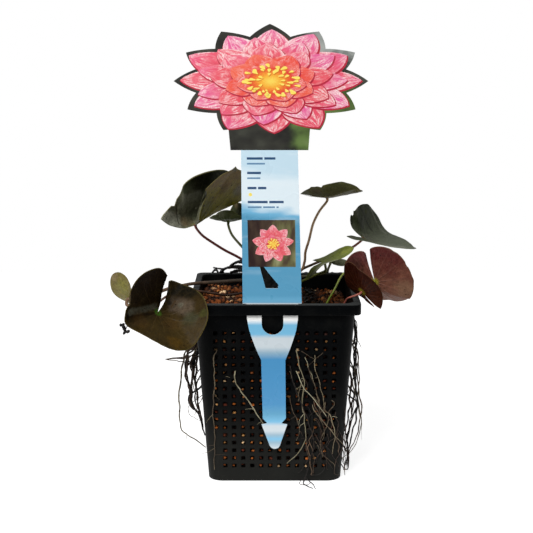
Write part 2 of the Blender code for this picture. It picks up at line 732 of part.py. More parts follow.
def flat_sheet(outlines, thick):
    """A flat sheet with holes, from a filled 2D curve, as a working mesh that lies in X and Y."""
    curve = bpy.data.curves.new("sheet", "CURVE")
    curve.dimensions = "2D"
    curve.fill_mode = "BOTH"
    curve.extrude = thick / 2
    for outline in outlines:
        spline = curve.splines.new("POLY")
        spline.points.add(len(outline) - 1)
        for point, (x, y) in zip(spline.points, outline):
            point.co = (x, y, 0, 1)
        spline.use_cyclic_u = True
    return mesh_of_curve(curve)


def mesh_of_curve(curve):
    """The curve's own surface as a working mesh, with its caps welded on."""
    guide = bpy.data.objects.new("guide", curve)
    bpy.context.scene.collection.objects.link(guide)
    graph = bpy.context.evaluated_depsgraph_get()
    mesh = bpy.data.meshes.new_from_object(guide.evaluated_get(graph))
    bm = bmesh.new()
    bm.from_mesh(mesh)
    bmesh.ops.remove_doubles(bm, verts=bm.verts, dist=0.00001)
    bpy.data.objects.remove(guide)
    bpy.data.meshes.remove(mesh)
    return bm


def make_label(group):
    outlines = [label_outline(), window_outline(), WEDGE]
    bm = flat_sheet(outlines, LABEL_THICK)
    top = HEAD_Z + HEAD_HALF_HEIGHT
    for strip in range(1, LABEL_STRIPS):
        height = LABEL_TIP + (top - LABEL_TIP) * strip / LABEL_STRIPS
        everything = bm.verts[:] + bm.edges[:] + bm.faces[:]
        bmesh.ops.bisect_plane(
            bm, geom=everything, dist=0.00001, plane_co=(0, height, 0), plane_no=(0, 1, 0)
        )
    for vert in bm.verts:
        x, z, depth = vert.co
        vert.co = (x + label_middle(z), LABEL_Y + label_lean(z) - depth, z)
    bmesh.ops.triangulate(bm, faces=bm.faces)
    material = plain_material("label_print", (0.30, 0.58, 0.75), 0.30)
    return finish_mesh(bm, "label", group, material)


def margin_reach(leaf, angle):
    """How far the blade's edge lies from the stalk, at an angle from the way to its tip."""
    centre = (leaf["tip"] - leaf["lobe"]) / 2
    length = (leaf["tip"] + leaf["lobe"]) / 2
    width = leaf["side"]
    a = (math.cos(angle) / length) ** 2 + (math.sin(angle) / width) ** 2
    b = -2 * math.cos(angle) * centre / length**2
    c = (centre / length) ** 2 - 1
    reach = (-b + math.sqrt(b * b - 4 * a * c)) / (2 * a)
    end = leaf["ends"][1 if angle > 0 else 0]
    to_notch = math.pi - math.radians(leaf["notch"]) / 2 - abs(angle)
    if end >= 0:
        reach *= 1 + end * max(0.0, 1 - to_notch / POINTED_REACH) ** 2
    else:
        near = min(1.0, max(0.0, 1 - to_notch / ROUNDED_REACH))
        reach *= 1 + end * (1 - math.sqrt(1 - near**2))
    more = 0
    for at, share in zip(MARGIN_AT, leaf["margin"]):
        off = abs(math.degrees(angle) - at) / MARGIN_SPREAD
        if off < 1:
            more += share * (1 + math.cos(math.pi * off)) / 2
    reach *= (1 + more) * (1 + MARGIN_RIPPLE * math.sin(5 * angle + leaf["phase"]))
    if leaf["blunt"]:
        direction, distance = leaf["blunt"]
        ahead = math.cos(angle - math.radians(direction))
        if reach * ahead > distance:
            reach = distance / ahead
    return reach


def fold(point, line):
    """Rolls what lies left of a line across the blade up round a cylinder."""
    direction, offset, bend, radius = line
    direction = math.radians(direction)
    along = Vector((math.cos(direction), math.sin(direction), 0))
    across = Vector((-along.y, along.x, 0))
    beyond = point.dot(across) - offset
    if beyond <= 0:
        return point
    sign = 1 if bend >= 0 else -1
    bend = abs(math.radians(bend))
    turned = min(beyond / radius, bend)
    rest = max(0.0, beyond - radius * bend)
    height = point.z * sign
    out = radius * math.sin(turned) + rest * math.cos(turned) - height * math.sin(turned)
    up = radius * (1 - math.cos(turned)) + rest * math.sin(turned) + height * math.cos(turned)
    return along * point.dot(along) + across * (offset + out) + Vector((0, 0, up * sign))


def blade_point(leaf, angle, share):
    """A point of the blade, at an angle from the tip and a share of the way to the edge."""
    reach = margin_reach(leaf, angle) * share
    lift = leaf["cup"] + leaf["wave"] * math.sin(3 * angle + leaf["phase"])
    half_sweep = math.pi - math.radians(leaf["notch"]) / 2
    angle *= 1 - math.radians(leaf["gape"]) * math.sin(math.pi * share) / half_sweep
    point = Vector((reach * math.cos(angle), reach * math.sin(angle), lift * share**2))
    for line in leaf["folds"]:
        point = fold(point, line)
    turn = (
        Matrix.Rotation(math.radians(leaf["bearing"]), 3, "Z")
        @ Matrix.Rotation(-math.radians(leaf["climb"]), 3, "Y")
        @ Matrix.Rotation(math.radians(leaf["roll"]), 3, "X")
    )
    return Vector(leaf["at"]) + turn @ point


def stalk_seat(leaf):
    """Where the stalk meets the blade, and the way out of the blade's underside there."""
    middle = blade_point(leaf, 0, 0)
    ahead = blade_point(leaf, 0, 0.05)
    aside = blade_point(leaf, math.pi / 2, 0.05)
    down = -(ahead - middle).cross(aside - middle).normalized()
    return middle, down


def make_blade(name, leaf, group, material):
    """A thin blade: its middle surface fans out from the stalk, and Solidify thickens it."""
    bm = bmesh.new()
    middle = bm.verts.new(blade_point(leaf, 0, 0))
    half_sweep = math.pi - math.radians(leaf["notch"]) / 2
    rows = []
    for spoke in range(leaf["spokes"] + 1):
        angle = half_sweep * (2 * spoke / leaf["spokes"] - 1)
        row = [middle]
        for ring in range(1, leaf["rings"] + 1):
            row.append(bm.verts.new(blade_point(leaf, angle, ring / leaf["rings"])))
        rows.append(row)
    for before, after in zip(rows, rows[1:]):
        bm.faces.new((middle, before[1], after[1]))
        for ring in range(1, leaf["rings"]):
            bm.faces.new((before[ring], before[ring + 1], after[ring + 1], after[ring]))
    bmesh.ops.triangulate(bm, faces=bm.faces, quad_method="SHORT_EDGE")
    mesh = bpy.data.meshes.new(name)
    bm.to_mesh(mesh)
    bm.free()
    mesh.shade_smooth()
    mesh.materials.append(material)
    blade = bpy.data.objects.new(name, mesh)
    group.objects.link(blade)
    thickness = blade.modifiers.new("thickness", "SOLIDIFY")
    thickness.thickness = BLADE_THICK
    thickness.offset = 0
    return blade


def smooth_path(points, spacing):
    """The first point, then points at an even spacing along a smooth curve from the second on."""
    points = [Vector(point) for point in points]
    padded = [2 * points[0] - points[1], *points, 2 * points[-1] - points[-2]]
    dense = []
    for p0, p1, p2, p3 in zip(padded[1:], padded[2:], padded[3:], padded[4:]):
        for step in range(16):
            t = step / 16
            dense.append(
                0.5
                * (
                    2 * p1
                    + (p2 - p0) * t
                    + (2 * p0 - 5 * p1 + 4 * p2 - p3) * t**2
                    + (3 * p1 - p0 - 3 * p2 + p3) * t**3
                )
            )
    dense.append(points[-1])
    lengths = [0.0]
    for before, after in zip(dense, dense[1:]):
        lengths.append(lengths[-1] + (after - before).length)
    count = max(2, round(lengths[-1] / spacing))
    path = [points[0]]
    index = 0
    for step in range(count + 1):
        wanted = lengths[-1] * step / count
        while index < len(dense) - 2 and lengths[index + 1] < wanted:
            index += 1
        span = lengths[index + 1] - lengths[index]
        path.append(dense[index].lerp(dense[index + 1], (wanted - lengths[index]) / span))
    return path


def make_tube(name, path, radius, group, material):
    curve = bpy.data.curves.new(name, "CURVE")
    curve.dimensions = "3D"
    curve.bevel_depth = radius
    curve.bevel_resolution = 1
    curve.use_fill_caps = True
    spline = curve.splines.new("POLY")
    spline.points.add(len(path) - 1)
    for point, at in zip(spline.points, path):
        point.co = (*at, 1)
    curve.materials.append(material)
    tube = bpy.data.objects.new(name, curve)
    group.objects.link(tube)
    return tube


def crown_exit(around, up):
    """Where a stalk leaves the crown, and its way out."""
    around = math.radians(around)
    up = math.radians(up)
    way = Vector((math.cos(up) * math.cos(around), math.cos(up) * math.sin(around), math.sin(up)))
    skin = CROWN_AT + Vector([radius * part for radius, part in zip(CROWN_RADII, way)])
    return skin, way


def stalk_start(stalk):
    """The two ends of the stalk's straight foot: at the bottom of its hole and just outside it."""
    if "soil" in stalk:
        skin = Vector(stalk["soil"])
        way = (Vector(stalk["through"][0]) - skin).normalized()
    else:
        skin, way = crown_exit(*stalk["crown"])
    return [skin - way * STALK_DEPTH, skin + way * STALK_DEPTH / 2]


def stalk_holes(name, stalks, group):
    """Straight cutters round the feet of these stalks."""
    bm = bmesh.new()
    for stalk in stalks:
        foot, mouth = stalk_start(stalk)
        way = (mouth - foot).normalized()
        foot = foot - way * 2 * GAP
        mouth = mouth + way * STALK_DEPTH
        matrix = Matrix.Translation((foot + mouth) / 2) @ way.to_track_quat("Z", "Y").to_matrix().to_4x4()
        bmesh.ops.create_cone(
            bm,
            cap_ends=True,
            segments=8,
            radius1=STALK_RADIUS + 1.5 * GAP,
            radius2=STALK_RADIUS + 1.5 * GAP,
            depth=(mouth - foot).length,
            matrix=matrix,
        )
    return hide_cutter(finish_mesh(bm, name, group))


def make_stalk(name, group):
    stalk = STALKS[name]
    points = stalk_start(stalk) + list(stalk["through"])
    middle, down = stalk_seat(LEAVES[name])
    end = middle + down * (BLADE_THICK / 2 + STALK_SEAT_GAP)
    points += [end + down * STALK_STRAIGHT, end]
    material = plain_material(name + "_stalk_skin", stalk["colour"], 0.45)
    make_tube(name + "_stalk", smooth_path(points, STALK_SPACING), STALK_RADIUS, group, material)


def on_wall(side, u, z, out):
    """A point this far out from the outside of a wall, which curves away at its corners."""
    half = wall_half(z)
    flat = half - WALL_CORNER
    past = min(max(0.0, abs(u) - flat), 0.95 * WALL_CORNER)
    reach = flat + math.sqrt(WALL_CORNER**2 - past**2) + out
    if side == "front":
        return Vector((u, -reach, z))
    if side == "right":
        return Vector((reach, u, z))
    return Vector((-reach, u, z))


def make_root(name, group):
    root = ROOTS[name]
    column, row, corner_u, corner_z = root["opening"]
    u = column * HOLE_PITCH_U + corner_u * ROOT_CORNER_U
    z = row_height(row) + corner_z * ROOT_CORNER_Z
    points = [(u, z, -WALL_THICK), (u, z, ROOT_MOUTH), *root["points"]]
    path = [on_wall(root["side"], *point) for point in points]
    material = plain_material(name + "_skin", root["colour"], 0.7)
    make_tube(name, smooth_path(path, ROOT_SPACING), ROOT_THICK, group, material)


def main():
    clear_scene()
    plant = new_collection("potted_water_lily")
    cutters = new_collection("cutters")
    make_pot(plant, cutters)
    granules = make_soil(plant)
    crown = make_crown(plant)
    cut(granules, crown_hollow(cutters))
    crown_stalks = [stalk for stalk in STALKS.values() if "crown" in stalk]
    crown_stalks += DEAD_STALKS.values()
    soil_stalks = [stalk for stalk in STALKS.values() if "soil" in stalk]
    cut(crown, stalk_holes("crown_holes", crown_stalks, cutters))
    cut(granules, stalk_holes("granule_holes", soil_stalks, cutters))
    make_label(plant)
    for name, leaf in LEAVES.items():
        material = plain_material(name + "_skin", leaf["colour"], 0.40)
        make_blade(name + "_leaf", leaf, plant, material)
        make_stalk(name, plant)
    dead = plain_material("dead_stalk_skin", (0.012, 0.010, 0.009), 0.55)
    for name, stalk in DEAD_STALKS.items():
        path = smooth_path(stalk_start(stalk) + list(stalk["through"]), STALK_SPACING)
        make_tube(name, path, STALK_RADIUS, plant, dead)
    for name in ROOTS:
        make_root(name, plant)


main()
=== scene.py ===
"""The looks of a young water lily that grows in a square mesh pot, built round its solid model.

Metres, +Z up, -Y is the front. The origin is the centre of the pot's underside.
"""

import json
import math
import random

import bmesh
import bpy
import numpy as np
from mathutils import Matrix, Vector, noise


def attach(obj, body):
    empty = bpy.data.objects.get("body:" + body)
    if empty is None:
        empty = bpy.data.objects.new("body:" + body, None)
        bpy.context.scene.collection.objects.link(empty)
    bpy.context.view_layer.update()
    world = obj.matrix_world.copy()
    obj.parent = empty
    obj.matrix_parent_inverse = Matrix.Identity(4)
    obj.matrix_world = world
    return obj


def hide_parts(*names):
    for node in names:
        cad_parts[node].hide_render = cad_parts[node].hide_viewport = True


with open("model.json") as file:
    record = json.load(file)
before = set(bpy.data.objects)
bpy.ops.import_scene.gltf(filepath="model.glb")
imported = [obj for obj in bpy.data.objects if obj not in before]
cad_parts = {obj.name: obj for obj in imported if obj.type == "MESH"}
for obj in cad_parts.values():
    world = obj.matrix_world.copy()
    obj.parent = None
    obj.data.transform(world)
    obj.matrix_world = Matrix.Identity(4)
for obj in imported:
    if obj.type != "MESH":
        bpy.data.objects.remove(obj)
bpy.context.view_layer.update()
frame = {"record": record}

BODY = "root"

# The photograph's camera
CAMERA_AT = (-0.0063, -1.0135, 0.3456)
CAMERA_TILT = math.radians(79.5)
TILT_SINE = math.sin(CAMERA_TILT)
TILT_COSINE = math.cos(CAMERA_TILT)
CAMERA_LENS = 89.02
SENSOR_WIDTH = 36.0
PHOTO_SIDE = 533
FOCAL_PIXELS = CAMERA_LENS / SENSOR_WIDTH * PHOTO_SIDE

# The studio: a pale floor that glows a little, as on a light table; a sky that looks white and lights
# the plant mostly from behind; and one big soft light above and to the left of the camera
FLOOR_GLOW = 0.85
FLOOR_SIDE = 1.2
FLOOR_FRONT = -0.26
FLOOR_BACK = 0.8
SKY_BACK = 0.3
SKY_TOP = 0.22
SKY_FRONT = 0.04
KEY_AT = (-0.5, -0.95, 1.15)
KEY_AIM = (0.0, 0.0, 0.1)
KEY_SIZE = 0.8
KEY_POWER = 24.0

# The pot: a tapered square basket under a turned-down rim
POT_HEIGHT = 0.141
RIM_HALF = 0.0639
RIM_SKIRT = 0.0084
RIM_THICK = 0.0016
RIM_CORNER = 0.005
RIM_ROUND = 0.0007
WALL_TOP_HALF = 0.0606
WALL_BASE_HALF = 0.0508
WALL_THICK = 0.0018
WALL_CORNER = 0.011
FLOOR_THICK = 0.0025
FLOOR_INSET = 0.0003
FOOT_ROUND = 0.0012
CORNER_STEPS = 8

# The mesh openings in the walls, at their real number and size
HOLE_SIDE = 0.0032
HOLE_PITCH_U = 0.00684
HOLE_PITCH_Z = 0.0062
HOLE_TOP_Z = 0.118
HOLE_ROWS = 18
HOLE_COLUMNS = 14
NARROW_ROWS = 5
HOLE_BEVEL = 0.00022

# The clay granules, heaped a little to the left. A dark streak beside the label darkens them to
# DARK_STREAK_BRIGHTNESS at DARK_STREAK_AT across. It reaches DARK_STREAK_REACH to each side and fades
# out at DARK_STREAK_FADE times that.
DARK_STREAK_AT = 0.029
DARK_STREAK_REACH = 0.0042
DARK_STREAK_FADE = 1.7
DARK_STREAK_BRIGHTNESS = 0.12
SOIL_LEVEL = 0.13
SOIL_SLOPE = -0.05
BED_DROP = 0.003
BED_INSET = 0.0048
BED_STEP = 0.006

# Single grains: their shapes are lumps with flats cut at a share of the radius, then stretched. In the
# openings of the mesh they lie a little off the middle, and some of the openings stay empty.
GRAIN_SEED = 11
GRAIN_SHAPES = 14
GRAIN_LUMPS = 1.6
GRAIN_LUMP_RISE = 0.22
GRAIN_FLATS = 7
GRAIN_FLAT_AT = 0.74
GRAIN_FLAT_FROM = 0.55
GRAIN_STRETCH = ((0.8, 1.25), (0.75, 1.1), (0.65, 0.95))
EMPTY_SHARE = 0.22
SIDE_DRIFT = (-0.0008, 0.0008)
SIDE_DROP = (-0.0012, 0.0004)
SIDE_RADIUS = (0.001, 0.0019)
SIDE_DEPTH = (-0.0004, 0.0008)

# The top of the granules is a grid. Its points are by turns the top of a granule, at a height above
# the heap's own, and a dip between granules. Smaller grains lie in the dips. The grains' middles lie
# below the surface, or behind the wall, by these shares of their radius.
HEAP_STEPS = 38
HEAP_SHIFT = 0.25
HEAP_INSET = 0.0024
GRANULE_TOP = (0.0004, 0.0017)
GRANULE_DIP = (-0.0012, -0.0004)
SOIL_SEED = 7
TOP_RADIUS = (0.0014, 0.0024)
DIP_RADIUS = (0.0008, 0.0014)
DIP_DROP = 0.0009
GRAIN_SINK = 0.8
UNDER_SINK = 2.4
SIDE_SINK = 0.35

# The crown that the leaf stalks grow from: a body with lumps and smaller knobs on it, and round stubs
# with a hollow in the middle, all as shares of its radii
CROWN_AT = Vector((-0.004, 0.02, 0.137))
CROWN_RADII = (0.0135, 0.0115, 0.015)
CROWN_STUBS = 26
STUB_WIDTH = 0.26
STUB_RISE = 0.16
STUB_HOLLOW = 0.1
STUB_HOLLOW_FROM = 0.62
CROWN_BODY = 0.93
CROWN_LUMPS = 2.2
CROWN_LUMP_RISE = 0.1
CROWN_KNOBS = 7
CROWN_KNOB_RISE = 0.05
CROWN_SEED = 5

# The label, a thin printed sheet that hangs in a slot in the rim
LABEL_Y = -0.06145
LABEL_THICK = 0.0006
LABEL_SLOT_WIDE = 0.0016
PANEL_HALF_TOP = 0.0206
PANEL_HALF_FOOT = 0.0218
PANEL_TOP = 0.2545
NECK_HALF = 0.0282
NECK_TOP = 0.274
HEAD_X = 0.002
HEAD_Z = 0.304
HEAD_HALF_WIDTH = 0.07
HEAD_HALF_HEIGHT = 0.0405
HEAD_PETALS = 12
HEAD_NOTCH = 0.2
HEAD_STEPS = 288
FORK_HALF = 0.0192
FORK_FLARE = (
    (0.098, 0.009), (0.1057, 0.0123), (0.1134, 0.0151), (0.121, 0.0174), (0.129, 0.0188),
)
STEM_HALF = 0.0087
STEM_FOOT = 0.0528
BARB_Z = 0.048
BARB_HALF = 0.0097
BARB_NECK_HALF = 0.0053
LABEL_TIP = 0.0287
TIP_RADIUS = 0.0042
WINDOW_HALF = 0.008
WINDOW_TOP = 0.137
WINDOW_FOOT = 0.1176
WEDGE = (
    (-0.0062, 0.1697), (-0.0088, 0.1696), (-0.0047, 0.1528), (0.0043, 0.1528), (0.005, 0.1552),
    (-0.0021, 0.164),
)
LABEL_SKEW = -0.0185
LABEL_LEAN_BACK = 0.16
LABEL_LEAN_IN = 0.02
LABEL_STRIPS = 80
LABEL_BEVEL = 0.00008
SLOT_ROOM = 0.0006
WELD = 0.00001

# The print on the label. Each layer of ink lies this much in front of the one before.
INK_STEP = 0.00002
PICTURE_MIDDLE = (-0.0025, 0.18625)
PICTURE_HALF = 0.0174
FROST = (253, 228, 226)

# The label's lines of small print as blocks: the line's height, whether it is a bold one, and the
# widths of its words. A small sun stands at the start of one line.
PRINT_LEFT = -0.0165
PRINT_SPACE = 0.0012
BOLD_HALF = 0.00085
LIGHT_HALF = 0.0006
SUN_MIDDLE = (-0.0145, 0.2222)
SUN_RADIUS = 0.0013
SMALL_PRINT = (
    (0.2485, True, (0.0115, 0.008)), (0.2447, False, (0.013,)), (0.238, True, (0.01,)),
    (0.2342, False, (0.0095,)), (0.227, True, (0.0065, 0.006)), (0.2168, True, (0.0145, 0.0105)),
    (0.213, False, (0.01, 0.0085, 0.0016)),
)

# The leaf blades
BLADE_HALF = 0.00022
BLADE_EDGE_HALF = 0.00009
MARGIN_RIPPLE = 0.012
POINTED_REACH = 0.9
ROUNDED_REACH = 0.45
MARGIN_AT = (-140, -70, 0, 70, 140)
MARGIN_SPREAD = 70
BLADE_VEINS = 13
SPOKES_PER_VEIN = 8
BLADE_RINGS = 26
VEIN_RIDGE = 0.0003
VEIN_GROOVE = 0.0001
BLADE_SWELL = 0.00035
BLADE_LUMPS = 90
BLADE_RIPPLES = 240
BLADE_RIPPLE_SHARE = 0.6
UV_SPAN = 0.2

# Each leaf: the point its blade lies at, where its midrib bears from there, how far that climbs and
# how far the blade rolls about it, in degrees; then its reach to the tip, the sides and the lobes,
# how wide its notch is and how pointed (+) or rounded (-) its two lobes end. Its margin gives the
# share by which it reaches further at each of MARGIN_AT, gape how far its half way out opens from
# the tip, and blunt the direction and distance of a straight end. Last come how deeply it is cupped
# and waved, and its folds. A fold is the direction of its line across the flat blade and how far
# the line lies from the stalk, then how far and how tightly all that is left of the line bends up.
LEAVES = {
    "back_left": dict(
        at=(-0.062, -0.0045, 0.189), bearing=55, climb=21, roll=47, tip=0.06, side=0.043, lobe=0.025,
        notch=59, ends=(-0.32, 0.35), margin=(0.03, 0.05, 0, -0.11, -0.02), gape=-2, cup=-0.0055,
        wave=0.001, phase=0.8,
        folds=((-11, 0.003, 67, 0.009), (175, -0.0065, 116, 0.006), (88, 0.0015, 25, 0.0235))),
    "shaded": dict(
        at=(-0.037, 0.04, 0.1875), bearing=-26, climb=4, roll=-14, tip=0.0215, side=0.0175, lobe=0.0155,
        notch=14, ends=(0, -0.05), cup=0.002, wave=-0.002, phase=1.8,
        folds=((-32, 0.001, 75, 0.006), (175, 0.0065, 31, 0.009))),
    "front_left": dict(
        at=(-0.0865, -0.068, 0.1355), bearing=-97, climb=-19, roll=-26, tip=0.037, side=0.0395, lobe=0.0335,
        notch=15, ends=(-0.29, -0.1), margin=(-0.07, 0.04, 0.04, -0.01, 0.01), gape=3, cup=0.0005,
        wave=-0.003, phase=-1.0, folds=((156, -0.0035, 71, 0.01), (38, 0.004, 44, 0.0135))),
    "far_left": dict(
        at=(-0.1105, -0.0275, 0.138), bearing=159, climb=49, roll=56, tip=0.023, side=0.0115, lobe=0.0095,
        notch=47, ends=(0.35, 0.02), cup=-0.0005, wave=0.0025, phase=0.4,
        folds=((-13, 0.003, 14, 0.007),)),
    "tall_right": dict(
        at=(0.0415, 0.019, 0.209), bearing=9, climb=11, roll=-8, tip=0.028, side=0.021, lobe=0.0165,
        notch=15, ends=(0.13, 0.21), margin=(-0.04, -0.09, 0.04, -0.04, 0.09), gape=1, cup=-0.0005,
        wave=0.0005, phase=-1.3,
        folds=((-1, -0.0025, 36, 0.015), (207, 0.0125, 18, 0.008), (96, -0.0045, 18, 0.018))),
    "far_right": dict(
        at=(0.07, 0.0225, 0.174), bearing=31, climb=-4, roll=12, tip=0.047, side=0.0335, lobe=0.0195,
        notch=51, ends=(0.31, -0.39), margin=(0.04, -0.02, -0.03, 0, 0), gape=-3, blunt=(-15.4, 0.0431),
        cup=-0.001, wave=-0.001, phase=-1.0,
        folds=((28, -0.007, 68, 0.013), (155, -0.0055, 16, 0.016))),
    "young": dict(
        at=(0.038, -0.0075, 0.163), bearing=-16, climb=22, roll=9, tip=0.025, side=0.015, lobe=0.013,
        notch=60, ends=(0.35, -0.04), margin=(0.19, 0.01, 0.04, 0.01, -0.12), cup=0.0015, wave=0.001,
        phase=-0.3, folds=((85, 0.0145, -14, 0.004), (147, 0.007, -45, 0.007))),
    "budding": dict(
        at=(0.045, 0.0205, 0.158), bearing=-8, climb=-15, roll=-41, tip=0.0145, side=0.0055, lobe=0.0035,
        notch=30, ends=(0.14, 0.08), cup=0.002, wave=-0.001, phase=-1.3,
        folds=((23, 0.001, 9, 0.0045),)),
    "front_right": dict(
        at=(0.076, -0.036, 0.153), bearing=-4, climb=-70, roll=-72, tip=0.0275, side=0.0295, lobe=0.0265,
        notch=10, ends=(-0.09, -0.17), cup=0.005, wave=-0.001, phase=0.3,
        folds=((-45, 0.0, 42, 0.0085), (174, -0.0075, -8, 0.0105))),
    "front_fold": dict(
        at=(0.0645, -0.0555, 0.149), bearing=164, climb=51, roll=44, tip=0.024, side=0.016, lobe=0.0175,
        notch=17, ends=(-0.31, 0.11), cup=0.003, wave=0.0015, phase=1.4,
        folds=((18, 0.005, 23, 0.0075), (142, 0.0085, 13, 0.01))),
}

# Leaf colours, 0 to 255: the blade low down and high up on its upper side and on its underside,
# its veins there, its specks, the heart where the stalk meets it, and its rim; then how it shines
# Each rim is partly the blade's own pale margin and partly a painted highlight where light catches the edge
LEAF_COLOURS = {
    # back_left's pale grey low tone on its upper side is painted sheen on its lower, glossy part
    "back_left": dict(
        upper=((92, 92, 74), (30, 36, 18)), under=((118, 112, 30), (114, 92, 48)),
        veins=((74, 76, 54), (60, 40, 20)), specks=(24, 13, 6), heart=(104, 100, 60), rim=(132, 126, 84),
        shine=0.07),
    "shaded": dict(
        upper=((60, 62, 34), (42, 48, 18)), under=((46, 54, 14), (70, 76, 42)),
        veins=((84, 88, 48), (80, 86, 40)), specks=(26, 24, 8), heart=(110, 120, 60), rim=(104, 108, 66),
        shine=0.08),
    "front_left": dict(
        upper=((54, 42, 16), (22, 11, 2)), under=((94, 62, 44), (72, 50, 34)),
        veins=((84, 68, 40), (86, 62, 42)), specks=(20, 12, 4), heart=(66, 112, 28), rim=(92, 82, 44),
        shine=0.06),
    "far_left": dict(
        upper=((114, 106, 58), (106, 98, 54)), under=((112, 104, 62), (100, 90, 50)),
        veins=((132, 124, 76), (132, 124, 76)), specks=(76, 66, 30), heart=(120, 120, 56), rim=(88, 80, 44),
        shine=0.1),
    "tall_right": dict(
        upper=((74, 72, 32), (92, 92, 50)), under=((86, 78, 36), (112, 104, 60)),
        veins=((90, 88, 60), (96, 88, 62)), specks=(28, 20, 9), heart=(104, 98, 50), rim=(124, 118, 80),
        shine=0.07),
    "far_right": dict(
        upper=((98, 104, 82), (54, 60, 38)), under=((116, 122, 96), (74, 80, 54)),
        veins=((84, 88, 72), (100, 102, 84)), specks=(30, 32, 22), heart=(104, 98, 50), rim=(112, 114, 92),
        shine=0.1),
    "young": dict(
        upper=((82, 90, 18), (106, 116, 32)), under=((88, 98, 24), (112, 122, 38)),
        veins=((140, 146, 84), (138, 144, 80)), specks=(58, 66, 16), heart=(128, 138, 48),
        rim=(130, 136, 84), shine=0.12),
    "budding": dict(
        upper=((142, 146, 116), (152, 156, 130)), under=((140, 144, 114), (148, 152, 122)),
        veins=((116, 120, 96), (114, 116, 92)), specks=(52, 54, 34), heart=(112, 114, 66),
        rim=(120, 124, 104), shine=0.12),
    "front_right": dict(
        upper=((70, 76, 34), (52, 58, 22)), under=((108, 70, 54), (70, 26, 24)),
        veins=((80, 86, 48), (126, 86, 74)), specks=(30, 8, 6), heart=(140, 138, 32), rim=(112, 84, 60),
        shine=0.08),
    "front_fold": dict(
        upper=((50, 40, 16), (38, 32, 12)), under=((48, 20, 8), (34, 7, 2)),
        veins=((62, 54, 26), (84, 46, 28)), specks=(16, 4, 1), heart=(130, 122, 32), rim=(88, 62, 40),
        shine=0.06),
}

# Bites and swellings of the margins: the pixel of the photograph, how many degrees wide, and the share
# of the reach that is missing. The margin is searched for the pixel in this many steps to each side.
BITE_STEPS = 120
SHRED_STEPS = 90
LEAF_BITES = {
    "back_left": ((175.5, 203.5, 4.5, 0.14), (186, 181, 16, -0.05), (233, 164, 3, -0.05)),
    "far_right": ((351.5, 211, 4, 0.16), (349, 206, 3, -0.12), (370, 201, 7, -0.03), (358, 236, 6, 0.05)),
    "front_left": ((127, 303, 5, 0.1), (121, 322, 7, -0.05), (167, 270, 13, 0.13), (206, 318, 9, -0.02)),
    "tall_right": ((321, 186, 6, 0.1), (311, 184, 6, -0.06), (340, 183, 8, -0.05)),
    "shaded": ((214, 212, 6, 0.05),),
    "front_right": ((411, 262, 3, 0.03), (413, 280, 4, -0.02), (396, 246, 4, 0.02)),
}

